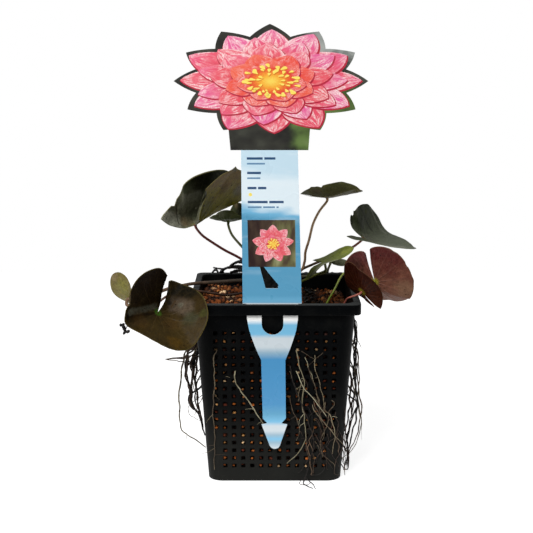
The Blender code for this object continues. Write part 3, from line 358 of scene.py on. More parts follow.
# Patches of other colours on the blades: the pixel of the photograph, how far about it in pixels,
# then the colour and how strong it is. Two pixels make a streak from one to the other. The places are
# looked up among points all over the blade, and those within MARK_MISS of the pixel count as on it.
MARK_MISS = 1.5
MARK_SPOKES = 36
MARK_RINGS = 20
# The grey sheen tone is painted sheen, where light glances off the glossy blades
# The mauve-grey tone is painted sheen too, a soft haze of light over the front left blade
# The pale tone is partly painted sheen on glancing and lower parts of the blades and partly their own pale
# waxy colour
MARK_COLOURS = {
    "night": (14, 12, 4), "bark": (27, 16, 6), "umber": (66, 46, 20), "olive": (84, 82, 20),
    "moss": (62, 66, 26), "slate": (54, 58, 42), "bloom": (100, 100, 86), "pale": (148, 148, 132),
    "tan": (120, 104, 76), "mauve": (92, 80, 68), "rust": (84, 60, 14), "spring": (134, 140, 52),
    "lime": (66, 116, 26), "plum": (74, 38, 42),
}
LEAF_MARKS = {
    "back_left": (
        (203, 178, 17, "night", 0.85), (186, 192, 7, "slate", 0.6), (184, 199, 198, 196, 6, "bloom", 0.75),
        (182, 207, 5, "bloom", 0.6), (193, 213, 8, "slate", 0.7), (196.5, 208.5, 1.4, "pale", 0.8),
        (164, 218, 178, 221, 7, "pale", 0.9), (184, 221, 6, "tan", 0.6),
        (176, 206, 180, 224, 1.0, "bark", 0.7), (190, 222, 6, "umber", 0.4), (236, 168, 6, "bloom", 0.8),
        (238, 190, 8, "bloom", 0.6), (224, 188, 7, "umber", 0.4), (207, 208, 12, "olive", 0.8),
        (228, 206, 7, "olive", 0.6), (212.5, 193, 1.0, "bark", 0.9), (213, 198, 1.2, "bark", 0.9),
        (220, 186, 0.9, "bark", 0.9), (222.5, 189, 1.1, "bark", 0.9), (231.5, 184, 1.0, "bark", 0.9),
        (205, 206, 1.2, "bark", 0.9), (218, 206, 0.9, "bark", 0.9), (227, 197, 0.9, "bark", 0.9)),
    "shaded": ((218, 214, 7, "bloom", 0.5), (231, 213, 6, "moss", 0.8), (236, 205, 5, "tan", 0.6)),
    "front_left": (
        (150, 283, 16, "bark", 0.9), (138, 300, 7, "bark", 0.7), (130, 311, 156, 305, 4, "bloom", 0.6),
        (129, 315, 154, 313, 1.2, "bark", 0.7), (128, 291, 126, 302, 2.4, "tan", 0.8),
        (140, 320, 13, "umber", 0.5), (157.5, 312.5, 2.4, "lime", 0.9),
        # Painted sheen across the middle of the blade: a soft mauve-grey haze and a small grey patch
        (176, 305, 186, 307, 10, "mauve", 0.55), (180, 304, 3.5, "bloom", 0.45),
        (175, 301, 171, 306, 1.3, "umber", 0.6), (191, 319, 9, "slate", 0.6), (168, 303, 3, "night", 0.7),
        (170, 323, 10, "umber", 0.4), (176, 343, 10, "rust", 0.5), (203, 312, 5, "moss", 0.5),
        (183, 287, 13, "night", 0.95), (192, 291, 11, "night", 0.85), (166, 284, 172, 292, 4, "night", 0.8),
        (127, 316, 3.5, "night", 0.9), (123, 309, 3, "night", 0.9)),
    "far_left": ((113, 276, 6, "tan", 0.6), (122, 288, 9, "spring", 0.2)),
    "tall_right": (
        (305, 192, 6, "bloom", 0.5), (317, 190, 7, "umber", 0.5), (334, 183, 9, "moss", 0.6),
        (349, 191, 8, "bloom", 0.7), (325, 180, 6, "olive", 0.4)),
    "far_right": (
        (359, 204, 372, 230, 1.3, "night", 0.5), (352, 216, 360, 238, 1.2, "night", 0.5),
        (367, 210, 3, "moss", 0.7), (371, 204, 386, 234, 1.8, "pale", 0.35),
        (364, 234, 384, 242, 1.4, "pale", 0.5), (355, 208, 3, "pale", 0.4), (357, 213, 7, "bloom", 0.4),
        (362, 222, 8, "slate", 0.9), (352, 236, 5, "bloom", 0.7), (368, 238, 8, "bloom", 0.7),
        (392, 246, 404, 246, 4, "pale", 0.4), (385, 236, 1.6, "night", 0.4)),
    "young": (
        (345, 251, 7, "spring", 0.8), (334, 262, 318, 277, 4.5, "pale", 0.7), (313, 262, 4, "moss", 0.6),
        (311, 276, 6, "moss", 0.8), (345, 258, 4, "olive", 0.4)),
    "front_right": (
        (356, 260, 8, "plum", 0.5), (352, 268, 11, "bark", 0.6), (362, 266, 364, 284, 1.6, "bark", 0.6),
        (360, 288, 7, "rust", 0.5), (364, 290, 4, "spring", 0.5), (404, 290, 12, "tan", 0.25)),
}

# Each stalk: its colours low and high, how thick it is where it isn't like the others, and where it
# leaves the crown, as degrees round it and up from its middle, then the points it passes on its way to
# its leaf. Two stalks come straight up out of the granules. A stalk starts a little thicker than its
# body and ends in a flare under its blade.
STALK_RADIUS = 0.0011
STALK_DEPTH = 0.004
STALK_STRAIGHT = 0.003
STALK_SIDES = 14
STALK_SPACING = 0.0012
STALK_FLARE = 0.0035
STALK_FLARE_SWELL = 0.35
STALK_FOOT = 0.15
STALK_FOOT_SWELL = 0.25
STALK_BODY = 0.98
STALK_TAPER = 0.1
STALKS = {
    "back_left": dict(
        colours=((74, 30, 30), (104, 50, 44)), crown=(203, 50), through=(
            (-0.0178, 0.014, 0.1556), (-0.0288, 0.01, 0.1635), (-0.0389, 0.006, 0.1696),
            (-0.0489, 0.001, 0.1769), (-0.056, -0.003, 0.1828))),
    "shaded": dict(
        colours=((64, 62, 30), (96, 100, 54)), crown=(148, 58), through=(
            (-0.013, 0.027, 0.156), (-0.0205, 0.031, 0.1625), (-0.029, 0.034, 0.171),
            (-0.0345, 0.037, 0.1775))),
    "front_left": dict(
        colours=((30, 20, 15), (84, 56, 40)), crown=(235, 10), thick=0.9, through=(
            (-0.0231, -0.006, 0.1385), (-0.0359, -0.022, 0.1395), (-0.0477, -0.031, 0.1428),
            (-0.059, -0.0355, 0.1455), (-0.07, -0.039, 0.1465), (-0.082, -0.0425, 0.1425),
            (-0.0915, -0.049, 0.1345), (-0.0945, -0.0575, 0.129))),
    "far_left": dict(
        colours=((54, 46, 38), (112, 88, 70)), crown=(190, 16), thick=1.3, through=(
            (-0.0266, 0.016, 0.1435), (-0.0431, 0.01, 0.1435), (-0.0547, 0.004, 0.144),
            (-0.0645, -0.004, 0.1448), (-0.0733, -0.012, 0.1446), (-0.0836, -0.02, 0.1435),
            (-0.0955, -0.03, 0.14), (-0.104, -0.0365, 0.1365), (-0.1115, -0.0365, 0.1345))),
    "tall_right": dict(
        colours=((124, 86, 62), (222, 186, 146)), crown=(20, 50), through=(
            (0.02, 0.02, 0.15), (0.024, 0.02, 0.1577), (0.0247, 0.02, 0.1658), (0.0275, 0.02, 0.1755),
            (0.0306, 0.02, 0.1883), (0.0355, 0.02, 0.1985))),
    "far_right": dict(
        colours=((80, 70, 50), (110, 62, 48)), crown=(22, 12), through=(
            (0.0213, 0.026, 0.15), (0.0302, 0.028, 0.154), (0.0413, 0.029, 0.1585), (0.0522, 0.028, 0.164),
            (0.0615, 0.026, 0.168))),
    "young": dict(
        colours=((92, 96, 44), (124, 132, 64)), crown=(-38, 8), through=(
            (0.0171, 0.01, 0.1422), (0.0272, 0.005, 0.1475), (0.0345, 0.0, 0.152),
            (0.0395, -0.004, 0.1552))),
    "budding": dict(
        colours=((72, 66, 46), (96, 96, 66)), crown=(-12, 30), through=(
            (0.0164, 0.017, 0.146), (0.0274, 0.015, 0.1475), (0.0361, 0.0135, 0.149),
            (0.041, 0.014, 0.1505))),
    "front_right": dict(
        colours=((82, 96, 22), (124, 130, 48)), soil=(0.036, -0.043, 0.129), thick=0.74, through=(
            (0.0395, -0.0435, 0.1385), (0.045, -0.0425, 0.1484), (0.0505, -0.0385, 0.158),
            (0.0575, -0.0365, 0.1625), (0.0645, -0.039, 0.1605), (0.0695, -0.0415, 0.156))),
    "front_fold": dict(
        colours=((110, 50, 46), (150, 84, 70)), soil=(0.0475, -0.045, 0.128), thick=0.74,
        through=((0.051, -0.048, 0.136), (0.0535, -0.052, 0.1425), (0.056, -0.0562, 0.145))),
}

# Two dead stalks curl round on the granules by the back left corner
DEAD_SEED = 3
DEAD_BODY = 1.05
DEAD_TAPER = 0.45
DEAD_UNEVEN = (0.85, 1.1)
DEAD_STALKS = {
    "dead_stalk_inner": dict(
        crown=(120, 42), through=(
            (-0.015, 0.031, 0.151), (-0.0215, 0.035, 0.1545), (-0.028, 0.037, 0.1555),
            (-0.033, 0.039, 0.153), (-0.0355, 0.04, 0.149))),
    "dead_stalk_outer": dict(
        crown=(112, 10), through=(
            (-0.017, 0.038, 0.144), (-0.025, 0.045, 0.147), (-0.034, 0.05, 0.1475), (-0.043, 0.052, 0.1462),
            (-0.05, 0.053, 0.147))),
}

# The main roots leave the pot through its openings and hang down its walls. Each starts at an
# opening of the solid model's wider mesh, given as its column, its row and the corner of it that the
# root takes. Then it passes points given as how far along the wall, how high, and how far out.
ROOT_PITCH_U = 0.01368
ROOT_PITCH_Z = 0.0124
ROOT_TOP_Z = 0.1149
ROOT_MOUTH = 0.0011
ROOT_CORNER_U = 0.0023
ROOT_CORNER_Z = 0.002
ROOT_SPACING = 0.0011
ROOT_SEED = 21
ROOT_SIDES = 7
ROOTS = {
    "front_root_edge": dict(
        side="front", tint="tan", radius=0.00042, opening=(-3, 1, -1, 1), points=(
            (-0.0458, 0.0985, 0.0014), (-0.0455, 0.081, 0.0013), (-0.0465, 0.0575, 0.0014),
            (-0.046, 0.0335, 0.0013), (-0.0462, 0.0095, 0.0014))),
    "front_root_pale": dict(
        side="front", tint="cream", radius=0.0005, opening=(-2, 2, -1, -1), points=(
            (-0.0298, 0.083, 0.0016), (-0.0255, 0.0734, 0.0013), (-0.0187, 0.0631, 0.0016),
            (-0.0127, 0.0535, 0.0014), (-0.0074, 0.0455, 0.0013), (-0.004, 0.04, 0.0013))),
    "front_root_long": dict(
        side="front", tint="cream", radius=0.00046, opening=(1, 1, 1, 1), points=(
            (0.0175, 0.098, 0.0016), (0.0185, 0.0925, 0.0013), (0.0219, 0.0813, 0.0013),
            (0.0205, 0.0655, 0.0013), (0.0226, 0.0495, 0.0014), (0.023, 0.0334, 0.0013),
            (0.0177, 0.0237, 0.0014), (0.0093, 0.0148, 0.0013))),
    "front_root_right": dict(
        side="front", tint="tan", radius=0.00036, opening=(2, 2, -1, 1), points=(
            (0.0268, 0.0862, 0.0016), (0.029, 0.08, 0.0013), (0.0325, 0.0695, 0.0014),
            (0.0333, 0.0607, 0.0013), (0.0342, 0.0511, 0.0013))),
    "front_root_outer": dict(
        side="front", tint="tan", radius=0.00032, opening=(2, 1, 1, -1), points=(
            (0.03, 0.094, 0.0016), (0.0315, 0.0861, 0.0013), (0.0345, 0.0766, 0.0013),
            (0.0362, 0.0671, 0.0013), (0.0368, 0.058, 0.0013))),
    "front_root_across": dict(
        side="front", tint="cream", radius=0.00034, opening=(1, 2, 1, -1), points=(
            (0.0183, 0.0825, 0.0032), (0.0215, 0.0765, 0.0034), (0.0257, 0.0718, 0.0032),
            (0.031, 0.0647, 0.003), (0.0387, 0.0535, 0.0028))),
    "front_root_short": dict(
        side="front", tint="tan", radius=0.00036, opening=(1, 4, -1, 1), points=(
            (0.012, 0.062, 0.0016), (0.014, 0.056, 0.0014), (0.0173, 0.0495, 0.0014),
            (0.0188, 0.0415, 0.0013), (0.0161, 0.0334, 0.0013))),
    "front_root_low": dict(
        side="front", tint="brown", radius=0.00044, opening=(1, 2, -1, 1), points=(
            (0.0125, 0.086, 0.0016), (0.014, 0.078, 0.0016), (0.0182, 0.0671, 0.003),
            (0.0236, 0.0535, 0.0034), (0.0282, 0.0415, 0.003), (0.0298, 0.0294, 0.0016),
            (0.0261, 0.0189, 0.0013), (0.0201, 0.0091, 0.0013))),
    "floor_root": dict(
        side="front", tint="brown", radius=0.0005, opening=(2, 8, -1, -1), points=(
            (0.0245, 0.008, 0.0022), (0.0228, 0.0032, 0.005), (0.0215, 0.0013, 0.01),
            (0.0245, 0.0011, 0.014), (0.029, 0.0012, 0.019))),
    "right_root_front": dict(
        side="right", tint="brown", radius=0.00048, opening=(-2, 0, -1, 1), points=(
            (-0.03, 0.112, 0.003), (-0.03, 0.0981, 0.0044), (-0.0295, 0.0823, 0.0063),
            (-0.03, 0.0663, 0.0066), (-0.03, 0.0519, 0.0061), (-0.03, 0.0382, 0.0047),
            (-0.03, 0.0261, 0.0032), (-0.03, 0.018, 0.0022))),
    "right_root_loop": dict(
        side="right", tint="tan", radius=0.00044, opening=(-1, 1, 1, 1), points=(
            (-0.0105, 0.0985, 0.0045), (-0.01, 0.089, 0.0087), (-0.01, 0.0704, 0.0108),
            (-0.01, 0.0541, 0.0112), (-0.01, 0.0426, 0.0143), (-0.01, 0.0319, 0.0151),
            (-0.01, 0.0179, 0.0129), (-0.01, 0.0096, 0.0087), (-0.01, 0.0046, 0.003))),
    "right_root_foot": dict(
        side="right", tint="brown", radius=0.00044, opening=(-2, 6, 1, -1), points=(
            (-0.024, 0.033, 0.0018), (-0.0235, 0.0261, 0.004), (-0.0235, 0.0139, 0.0056),
            (-0.023, 0.0035, 0.0058), (-0.0215, 0.006, 0.0025), (-0.0205, 0.011, 0.0014))),
    "right_root_back": dict(
        side="right", tint="tan", radius=0.00038, opening=(0, 0, -1, 1), points=(
            (-0.003, 0.112, 0.004), (-0.0035, 0.102, 0.0052), (-0.004, 0.0862, 0.0075),
            (-0.0045, 0.0703, 0.0071), (-0.005, 0.06, 0.0045), (-0.005, 0.054, 0.002))),
    "left_root_bow": dict(
        side="left", tint="bow", radius=0.00072, opening=(-1, 1, -1, 1), points=(
            (-0.018, 0.1, 0.007), (-0.019, 0.092, 0.0125), (-0.02, 0.0836, 0.0148), (-0.02, 0.0594, 0.0196),
            (-0.02, 0.0432, 0.0207), (-0.02, 0.0326, 0.0207), (-0.02, 0.0277, 0.0163),
            (-0.02, 0.0228, 0.0096), (-0.02, 0.0171, 0.0021))),
    "left_root_front": dict(
        side="left", tint="brown", radius=0.00066, opening=(-2, 1, -1, 1), points=(
            (-0.03, 0.099, 0.008), (-0.03, 0.0854, 0.0125), (-0.03, 0.0759, 0.0124), (-0.03, 0.0663, 0.01),
            (-0.03, 0.0575, 0.0121), (-0.03, 0.0511, 0.0079), (-0.03, 0.0455, 0.0044),
            (-0.03, 0.0342, 0.0028))),
    "left_root_back": dict(
        side="left", tint="tan", radius=0.0004, opening=(0, 2, -1, 1), points=(
            (-0.005, 0.087, 0.0065), (-0.0075, 0.0785, 0.0071), (-0.009, 0.0672, 0.0094),
            (-0.0095, 0.0557, 0.0071), (-0.01, 0.0443, 0.0063))),
    "left_root_side": dict(
        side="left", tint="tan", radius=0.00044, opening=(-2, 2, 1, 1), points=(
            (-0.026, 0.0925, 0.0063), (-0.028, 0.0926, 0.0128), (-0.0295, 0.0914, 0.0205),
            (-0.031, 0.091, 0.0275))),
}

# Every root wanders by up to ROOT_WANDER, and in and out by a share of that. Its middle stays above the
# floor by ROOT_LIFT times its radius. Its bends and its knots lie closer together the larger ROOT_BENDS
# and ROOT_KNOTS are. Hair-thin rootlets grow from the main roots, one to HAIR_EVERY points of the root.
ROOT_BENDS = 150
ROOT_KNOTS = 420
ROOT_WANDER = 0.0011
ROOT_WANDER_IN = 0.35
ROOT_TAPER = 0.45
ROOT_UNEVEN = 0.35
ROOT_LIFT = 1.6
HAIR_LENGTH = (0.004, 0.011)
HAIR_RADIUS = (0.00012, 0.00018)
HAIR_OUT = 0.0002
HAIR_EVERY = 16
HAIR_DOWN = (-1.0, 0.1)
HAIR_BEND = (-0.5, 0.5)

# Finer roots: tint, radius, and the pixels of the photograph that they pass. The first group lies this
# close to the front wall, the second on the floor. Those beside the pot hang in a plane at their own
# depth, given before the pixels, and start in the wall ROOT_RISE above their first pixel.
WALL_ROOT_GAP = 0.0006
ROOT_RISE = 0.01
WALL_ROOTS = (
    ("tan", 0.00026, ((286.8, 367), (292.9, 380), (297.7, 392), (299.8, 399))),
    ("tan", 0.00024, ((297.7, 350), (303.8, 352), (309.8, 356.5), (314.7, 359.5))),
    ("tan", 0.00024, ((324.4, 349.5), (320.8, 354.5), (314.7, 360.5), (308.6, 365.5))),
    ("cream", 0.00026, ((304.2, 352), (306.8, 363), (309.8, 371.5), (314.3, 383))),
    ("tan", 0.00024, ((314.7, 389.5), (317.1, 397), (318.9, 406.5), (321, 418))),
    ("cream", 0.0002, ((329.2, 417.6), (333.5, 417.1), (337.1, 417.8))),
    ("brown", 0.00026, ((315.3, 448), (317.1, 456.5), (315.9, 462.5), (313.5, 465))),
    ("tan", 0.00028, ((309.8, 392), (317.1, 402), (322, 409), (326.2, 416.5))),
    ("brown", 0.0003, ((308.6, 403), (314.7, 409), (320.8, 416.5), (322.5, 424))),
    ("brown", 0.00026, ((312.3, 416.5), (318.3, 421), (320.8, 431), (319.5, 439))),
    ("brown", 0.00028, ((305, 402), (309.8, 411.5), (311.7, 423.5), (312.3, 436), (309.8, 446))),
    ("brown", 0.00034, ((338, 429), (342, 436), (343, 443), (340.2, 453), (335.9, 461), (334.3, 470))),
    ("tan", 0.00026, ((302.8, 377), (301.4, 385), (298.9, 394.5), (298.2, 401))),
    ("tan", 0.0002, ((224, 377.2), (227, 376.4), (230, 377.4))),
    ("brown", 0.00022, ((242, 396), (243.6, 399), (243, 403))),
    ("brown", 0.00024, ((299, 372), (305, 380), (308, 389), (307, 398))),
    ("brown", 0.0003, ((318, 441), (321, 449), (318, 457), (312, 464), (306, 470))),
    ("brown", 0.00022, ((322, 400), (316, 409), (309, 418), (306, 428))),
)
FLOOR_ROOTS = (
    ("brown", 0.00048, ((297.7, 474.5), (302.6, 475.5), (309.8, 480.8), (313, 485), (315.5, 488.7))),
    ("brown", 0.00026, ((301.5, 477.5), (299.2, 483.3), (303, 484.8), (308, 484.6), (311, 482))),
)
SIDE_ROOTS = (
    ("brown", 0.00087, -0.03,
        ((194, 347), (189, 351), (187.6, 356), (184, 357.6), (179, 358), (172, 358.8), (166.3, 359.3))),
    ("tan", 0.00049, -0.026,
        ((195, 352), (190, 357), (186.5, 361.8), (182, 361.2), (174, 360.6), (167, 359.8))),
    ("brown", 0.00081, -0.024, (
        (196, 345), (189, 351), (188, 360), (186.2, 369), (186.4, 378), (188.6, 386), (191, 393),
        (190, 401), (192, 406), (196, 409.5), (200, 413), (202.3, 419))),
    ("brown", 0.00081, -0.02,
        ((195, 353), (191.5, 362), (193, 372), (191.6, 382), (192.4, 391), (192, 400), (194.5, 408))),
    ("tan", 0.00064, -0.012, (
        (196.5, 349), (195, 360), (194, 372), (194.4, 384), (196, 395), (196.2, 404), (199, 411),
        (200.4, 420))),
    ("brown", 0.00058, -0.016, (
        (197, 382), (197.2, 392), (197.6, 400), (197, 408), (201, 414), (202, 424), (204.4, 433),
        (207, 437))),
    ("tan", 0.00035, -0.01, ((197.5, 374), (195, 376.5), (197, 379.5), (201, 379))),
    ("tan", 0.00029, -0.014, ((190, 405), (188.5, 411), (190.4, 416), (195, 418.5), (203, 422))),
    ("tan", 0.00032, -0.028, ((198, 406), (195.6, 411), (193.6, 416))),
    ("brown", 0.00061, -0.02, (
        (352, 322), (355.4, 330), (354.6, 340), (353.6, 350), (355.4, 358), (356.4, 368), (355.6, 380),
        (354.6, 390))),
    ("tan", 0.00038, -0.03, ((352, 317), (355.2, 320), (357, 326), (356.4, 334), (354, 341), (351, 346))),
    ("tan", 0.00032, -0.026, ((352, 341), (356, 339.8), (358.6, 342.4), (361.2, 347.6))),
    ("brown", 0.00058, -0.012,
        ((350, 358), (352.6, 366), (355, 374), (356.4, 384), (355, 394), (356.4, 402), (359, 409))),
    ("brown", 0.00087, -0.018,
        ((351, 376), (351, 386), (350, 396), (350, 406), (348.6, 414), (347.2, 422), (345, 430))),
    ("tan", 0.00052, -0.016,
        ((355, 372), (353, 380), (354.4, 390), (357.6, 399), (359.4, 409), (360, 417), (358, 430))),
    ("brown", 0.00064, -0.024, (
        (358.6, 404), (355, 410), (352.4, 418), (351, 424), (348.6, 431), (346.2, 437), (347, 446),
        (345, 451))),
    ("brown", 0.00058, -0.026, (
        (343, 446), (347.6, 453), (348.4, 460), (347.6, 467), (346.8, 472), (343.6, 468), (340.6, 463),
        (336, 460))),
    ("brown", 0.001, -0.018, (
        (198, 350), (194, 361), (192, 372), (192.5, 382), (191, 392), (191.5, 402), (195, 409),
        (199.5, 414), (202, 424), (204.8, 435))),
    ("brown", 0.00085, -0.022, (
        (190, 348), (187.5, 360), (186.6, 370), (187.4, 380), (189.5, 389), (190.5, 398), (189.5, 404),
        (193, 409))),
    ("umber", 0.00085, -0.014, (
        (197, 356), (196.6, 368), (195.4, 380), (196.8, 392), (197.5, 402), (199.5, 410), (202, 420),
        (203, 429))),
    ("umber", 0.0007, -0.016,
        ((193.5, 358), (190.5, 366), (193.5, 374), (195.5, 384), (194.5, 396), (196.5, 406))),
    ("umber", 0.00075, -0.02, ((186, 356), (190, 362), (194, 366), (198, 371))),
    ("umber", 0.00065, -0.018, ((187, 366), (192, 361), (196, 357), (198, 352))),
    ("brown", 0.0008, -0.017, ((189, 396), (191, 400), (190.5, 405), (194, 410))),
    ("brown", 0.00085, -0.022, (
        (353.5, 318), (355.5, 328), (356.4, 338), (355, 350), (354, 362), (353.8, 374), (355, 386),
        (356.8, 398), (357, 410), (355.5, 422), (352, 434), (349, 446), (347.5, 458), (348.2, 468))),
    ("umber", 0.00056, -0.026, (
        (356.5, 352), (358, 362), (356.5, 374), (358.5, 388), (360.5, 402), (361, 414), (359.5, 426),
        (356, 438), (351, 448), (347, 457))),
    ("brown", 0.0007, -0.03, (
        (354, 395), (352, 405), (351.5, 417), (349.5, 429), (347, 441), (348.5, 452), (346, 462),
        (343.5, 470))),
)

# The tangle of thin roots over the lower right of the front, between these pixels of the photograph.
# Each starts a good way above the foot and goes down in steps, with a drift across that changes.
TANGLE = dict(
    count=20, left=306, right=345, top=398, foot=475, tints=("brown", "umber", "brown", "tan"),
    radius=(0.00024, 0.00046), out=(0.0002, 0.0016), clear=30, steps=(4, 8), down=(5, 11),
    drift=(-0.35, 0.45), turn=(-0.35, 0.35), across=9, stray=(-4, 4),
)
TANGLE_SEED = 21

# The roots' colours, 0 to 255, and their slots
ROOT_TINTS = {
    "cream": dict(low=(118, 110, 86), high=(170, 164, 136), slot="root_cream"),
    "tan": dict(low=(62, 48, 34), high=(124, 112, 88), slot="root_tan"),
    "bow": dict(low=(46, 38, 28), high=(122, 114, 94), slot="root_cream"),
    "brown": dict(low=(14, 9, 6), high=(58, 41, 30), slot="root_brown"),
    "umber": dict(low=(44, 30, 20), high=(96, 76, 58), slot="root_brown"),
}

# The shred's strands: how thick each is, then its pixels; the first one starts on the leaf's margin
SHRED_UNEVEN = (0.7, 1.25)
SHRED = (
    (0.0003, ((129, 323.5), (127.4, 326), (126, 328.4), (125.6, 330))),
    (0.0012, ((120.4, 325), (122.4, 325.6), (124, 327.6), (124.8, 330.4), (127, 332), (129.4, 330.6))),
    (0.00085, ((124.6, 330), (124.6, 332.4), (123.4, 334.2))),
    (0.0008, ((121.4, 325.2), (123.2, 324), (124.6, 324.2))),
)

# Black scraps on the granules beside the label: how many, the pixels they lie between, and how each
# goes on from point to point
SCRAPS = dict(
    count=16, left=302.5, right=314, top=286, foot=302, reach=4.0, radius=(0.0004, 0.0009),
    lift=(0.0006, 0.0016), points=3, across=(-0.5, 0.5), down=(-0.3, 0.3), uneven=(0.7, 1.2),
)

# Loops of dead stalk and crumbs: how thick each is, then its pixels. A loop's pixels have their depth
# with them. A crumb's lie at RIM_BACK, on the back rim, where an end less than RIM_REACH up stands on it.
LITTER_SEED = 5
LITTER_SPACING = 0.0009
LITTER_UNEVEN = (0.75, 1.2)
RIM_BACK = 0.0612
RIM_REACH = 0.0025
LITTER = (
    (0.001, (
        (221.5, 272.5, 0.056), (224, 269.4, 0.052), (228, 267.4, 0.046), (233, 266.2, 0.04),
        (239, 266.2, 0.034), (247, 267.5, 0.028), (256, 270, 0.024))),
    (0.001, (
        (229, 268, 0.045), (231.5, 265, 0.042), (236, 262.8, 0.038), (241, 262.4, 0.034), (248, 264, 0.029),
        (256, 268, 0.024))),
    (0.0013, (
        (231, 272.5, 0.05), (236, 271, 0.044), (243, 270.6, 0.036), (251, 272, 0.029),
        (258, 275, 0.024))),
    (0.00092, (
        (211.6, 274), (214.0, 270.6), (216.4, 269.8), (217.6, 271.6), (218.8, 273.0), (220.6, 272.0),
        (221.4, 270.4), (222.6, 271.4), (223.6, 274))),
    (0.0006, ((303, 274), (306, 272.4), (309.5, 274))),
    (0.00055, ((313, 274), (314.6, 271.4), (317, 274))),
    (0.0007, ((326.4, 274), (327.8, 272.2), (328.4, 269.6))),
    (0.0006, ((329.5, 274), (332, 272.6), (335, 274))),
    (0.0006, ((337, 274), (340, 272.8), (344, 274))),
)

# Colours of the plastic, the clay and the black remains, 0 to 255
# The plastic's dust tone also tints the painted bounce light that lightens the walls towards the foot
# The plastic's edge tone is a painted highlight along the rim's top
POT_TONES = dict(plastic=(2, 3, 4), dust=(37, 37, 34), scuff=(66, 64, 58), edge=(70, 72, 72))
CLAY_DAMP = (24, 11, 6)
CLAY_LIGHT = (236, 200, 154)
# The packed grains, with shaded set, get painted shade that darkens them near the rim
CLAYS = dict(
    clay_heap=dict(deep=(34, 14, 5), body=(114, 58, 22), pale=(190, 124, 68), damp=0.75),
    clay_packed=dict(deep=(86, 34, 15), body=(204, 110, 46), pale=(232, 168, 98), damp=0.5, shaded=True),
)
BED_TONES = ((26, 14, 9), (70, 36, 20))
REMAINS = dict(
    dead_stalk=((7, 6, 6), (22, 18, 17)), litter=((3, 3, 3), (13, 10, 9)), shred=((6, 5, 5), (24, 18, 15)),
    crown_rind=((3, 3, 2), (15, 12, 8)),
)

# The label's printed sky: its tones, then the height on the sheet at which each of them is met
LABEL_SPAN = 0.26
LABEL_TONES = {
    "deep": (70, 140, 188), "sea": (89, 155, 190), "sky": (116, 182, 217), "haze": (144, 174, 192),
    "mist": (198, 208, 214), "ice": (199, 225, 239), "frost": (226, 240, 247), "white": (246, 246, 244),
}
# The haze and mist bands across the fork, between 0.0985 and 0.118, are partly the printed sky and partly a
# painted reflection of the label's gloss
LABEL_BANDS = (
    (0.0287, "mist"), (0.0335, "haze"), (0.0365, "sky"), (0.0395, "haze"), (0.043, "mist"),
    (0.0468, "mist"), (0.05, "sky"), (0.056, "sea"), (0.064, "deep"), (0.0985, "deep"), (0.104, "haze"),
    (0.108, "mist"), (0.115, "mist"), (0.118, "sky"), (0.125, "sky"), (0.129, "white"), (0.141, "white"),
    (0.142, "sky"), (0.1475, "sea"), (0.201, "sea"), (0.209, "sky"), (0.214, "frost"), (0.233, "frost"),
    (0.24, "ice"), (0.2545, "ice"),
)

LABEL_WISPS = (236, 244, 248)
LABEL_BARE = ((226, 227, 226), (238, 239, 238))

# The blurred grounds behind the two printed blooms, as colours met one after another
BACKDROP = dict(
    dark=((0.34, (36, 35, 34)), (0.55, (58, 58, 52)), (0.75, (84, 86, 76))),
    green=((0.34, (70, 86, 48)), (0.55, (98, 122, 66)), (0.75, (120, 134, 88))),
    grey=((0.34, (112, 116, 112)), (0.6, (158, 162, 158)), (0.8, (186, 190, 184))),
)
PICTURE_GROUND = ((0.3, (48, 34, 32)), (0.5, (76, 62, 50)), (0.62, (104, 102, 68)), (0.78, (150, 152, 112)))

# The inks: a petal's shaded base, its body, its tint and how frosted it is; the heart from its middle
# outwards; and for a flat ink its two tones and the size of their clouds
PETAL_INKS = dict(
    coral=((200, 46, 66), (232, 86, 108), (232, 104, 164), 1.0),
    rosy=((206, 44, 54), (232, 84, 98), (236, 104, 130), 0.9),
    glow=((216, 44, 34), (236, 84, 70), (240, 110, 84), 0.55),
)
HEART_INKS = ((0.1, (250, 214, 92)), (0.45, (246, 176, 58)), (0.75, (238, 112, 52)), (1.0, (226, 66, 56)))
FLAT_INKS = dict(
    petal_shade=((168, 34, 56), (198, 50, 72), 0.004),
    ink_umber=((206, 96, 24), (226, 130, 34), 0.003),
    ink_yellow=((250, 216, 60), (255, 240, 138), 0.0018),
    ink_navy=((34, 66, 104), (58, 94, 132), 0.0012),
    ink_blue=((84, 126, 162), (112, 154, 188), 0.0012),
)

# The printed blooms. A tier of petals is how many there are, how far they are turned as a share of one
# petal's turn, and where they start, where they end and how wide they are, as shares of the bloom's
# reach. A ring of stamens is how many there are, how far out they lie and how long they are. Each of
# them varies within the spans named here. The head's lie on shades that are printed a little lower.
HEAD_TIERS = (
    ("head_petals", "coral", 4, ((12, 0.0, 0.22, 0.965, 0.195), (11, 0.3, 0.2, 0.8, 0.17))),
    ("head_middle_petals", "rosy", 5, ((9, 0.1, 0.18, 0.66, 0.175),)),
    ("head_inner_petals", "glow", 6, ((8, 0.4, 0.12, 0.5, 0.165), (7, 0.0, 0.08, 0.38, 0.135))),
)
HEAD_STAMENS = ((19, 0.262, 0.07), (15, 0.205, 0.06), (10, 0.145, 0.05))
HEAD_STAMEN_SEED = 9
HEAD_HEART = 0.235
PICTURE_TIERS = ((9, 0.0, 0.12, 0.9, 0.215), (8, 0.5, 0.1, 0.68, 0.195), (7, 0.2, 0.08, 0.46, 0.15))
PICTURE_SEED = 12
PICTURE_SQUASH = 0.94
PICTURE_STAMENS = ((13, 0.215, 0.1), (8, 0.13, 0.09))
PICTURE_STAMEN_SEED = 14
PICTURE_HEART = 0.22
PICTURE_HEART_SQUASH = 0.9
PETAL_TURNS = (-0.07, 0.07)
PETAL_LENGTHS = (0.93, 1.0)
PETAL_WIDTHS = (0.9, 1.08)
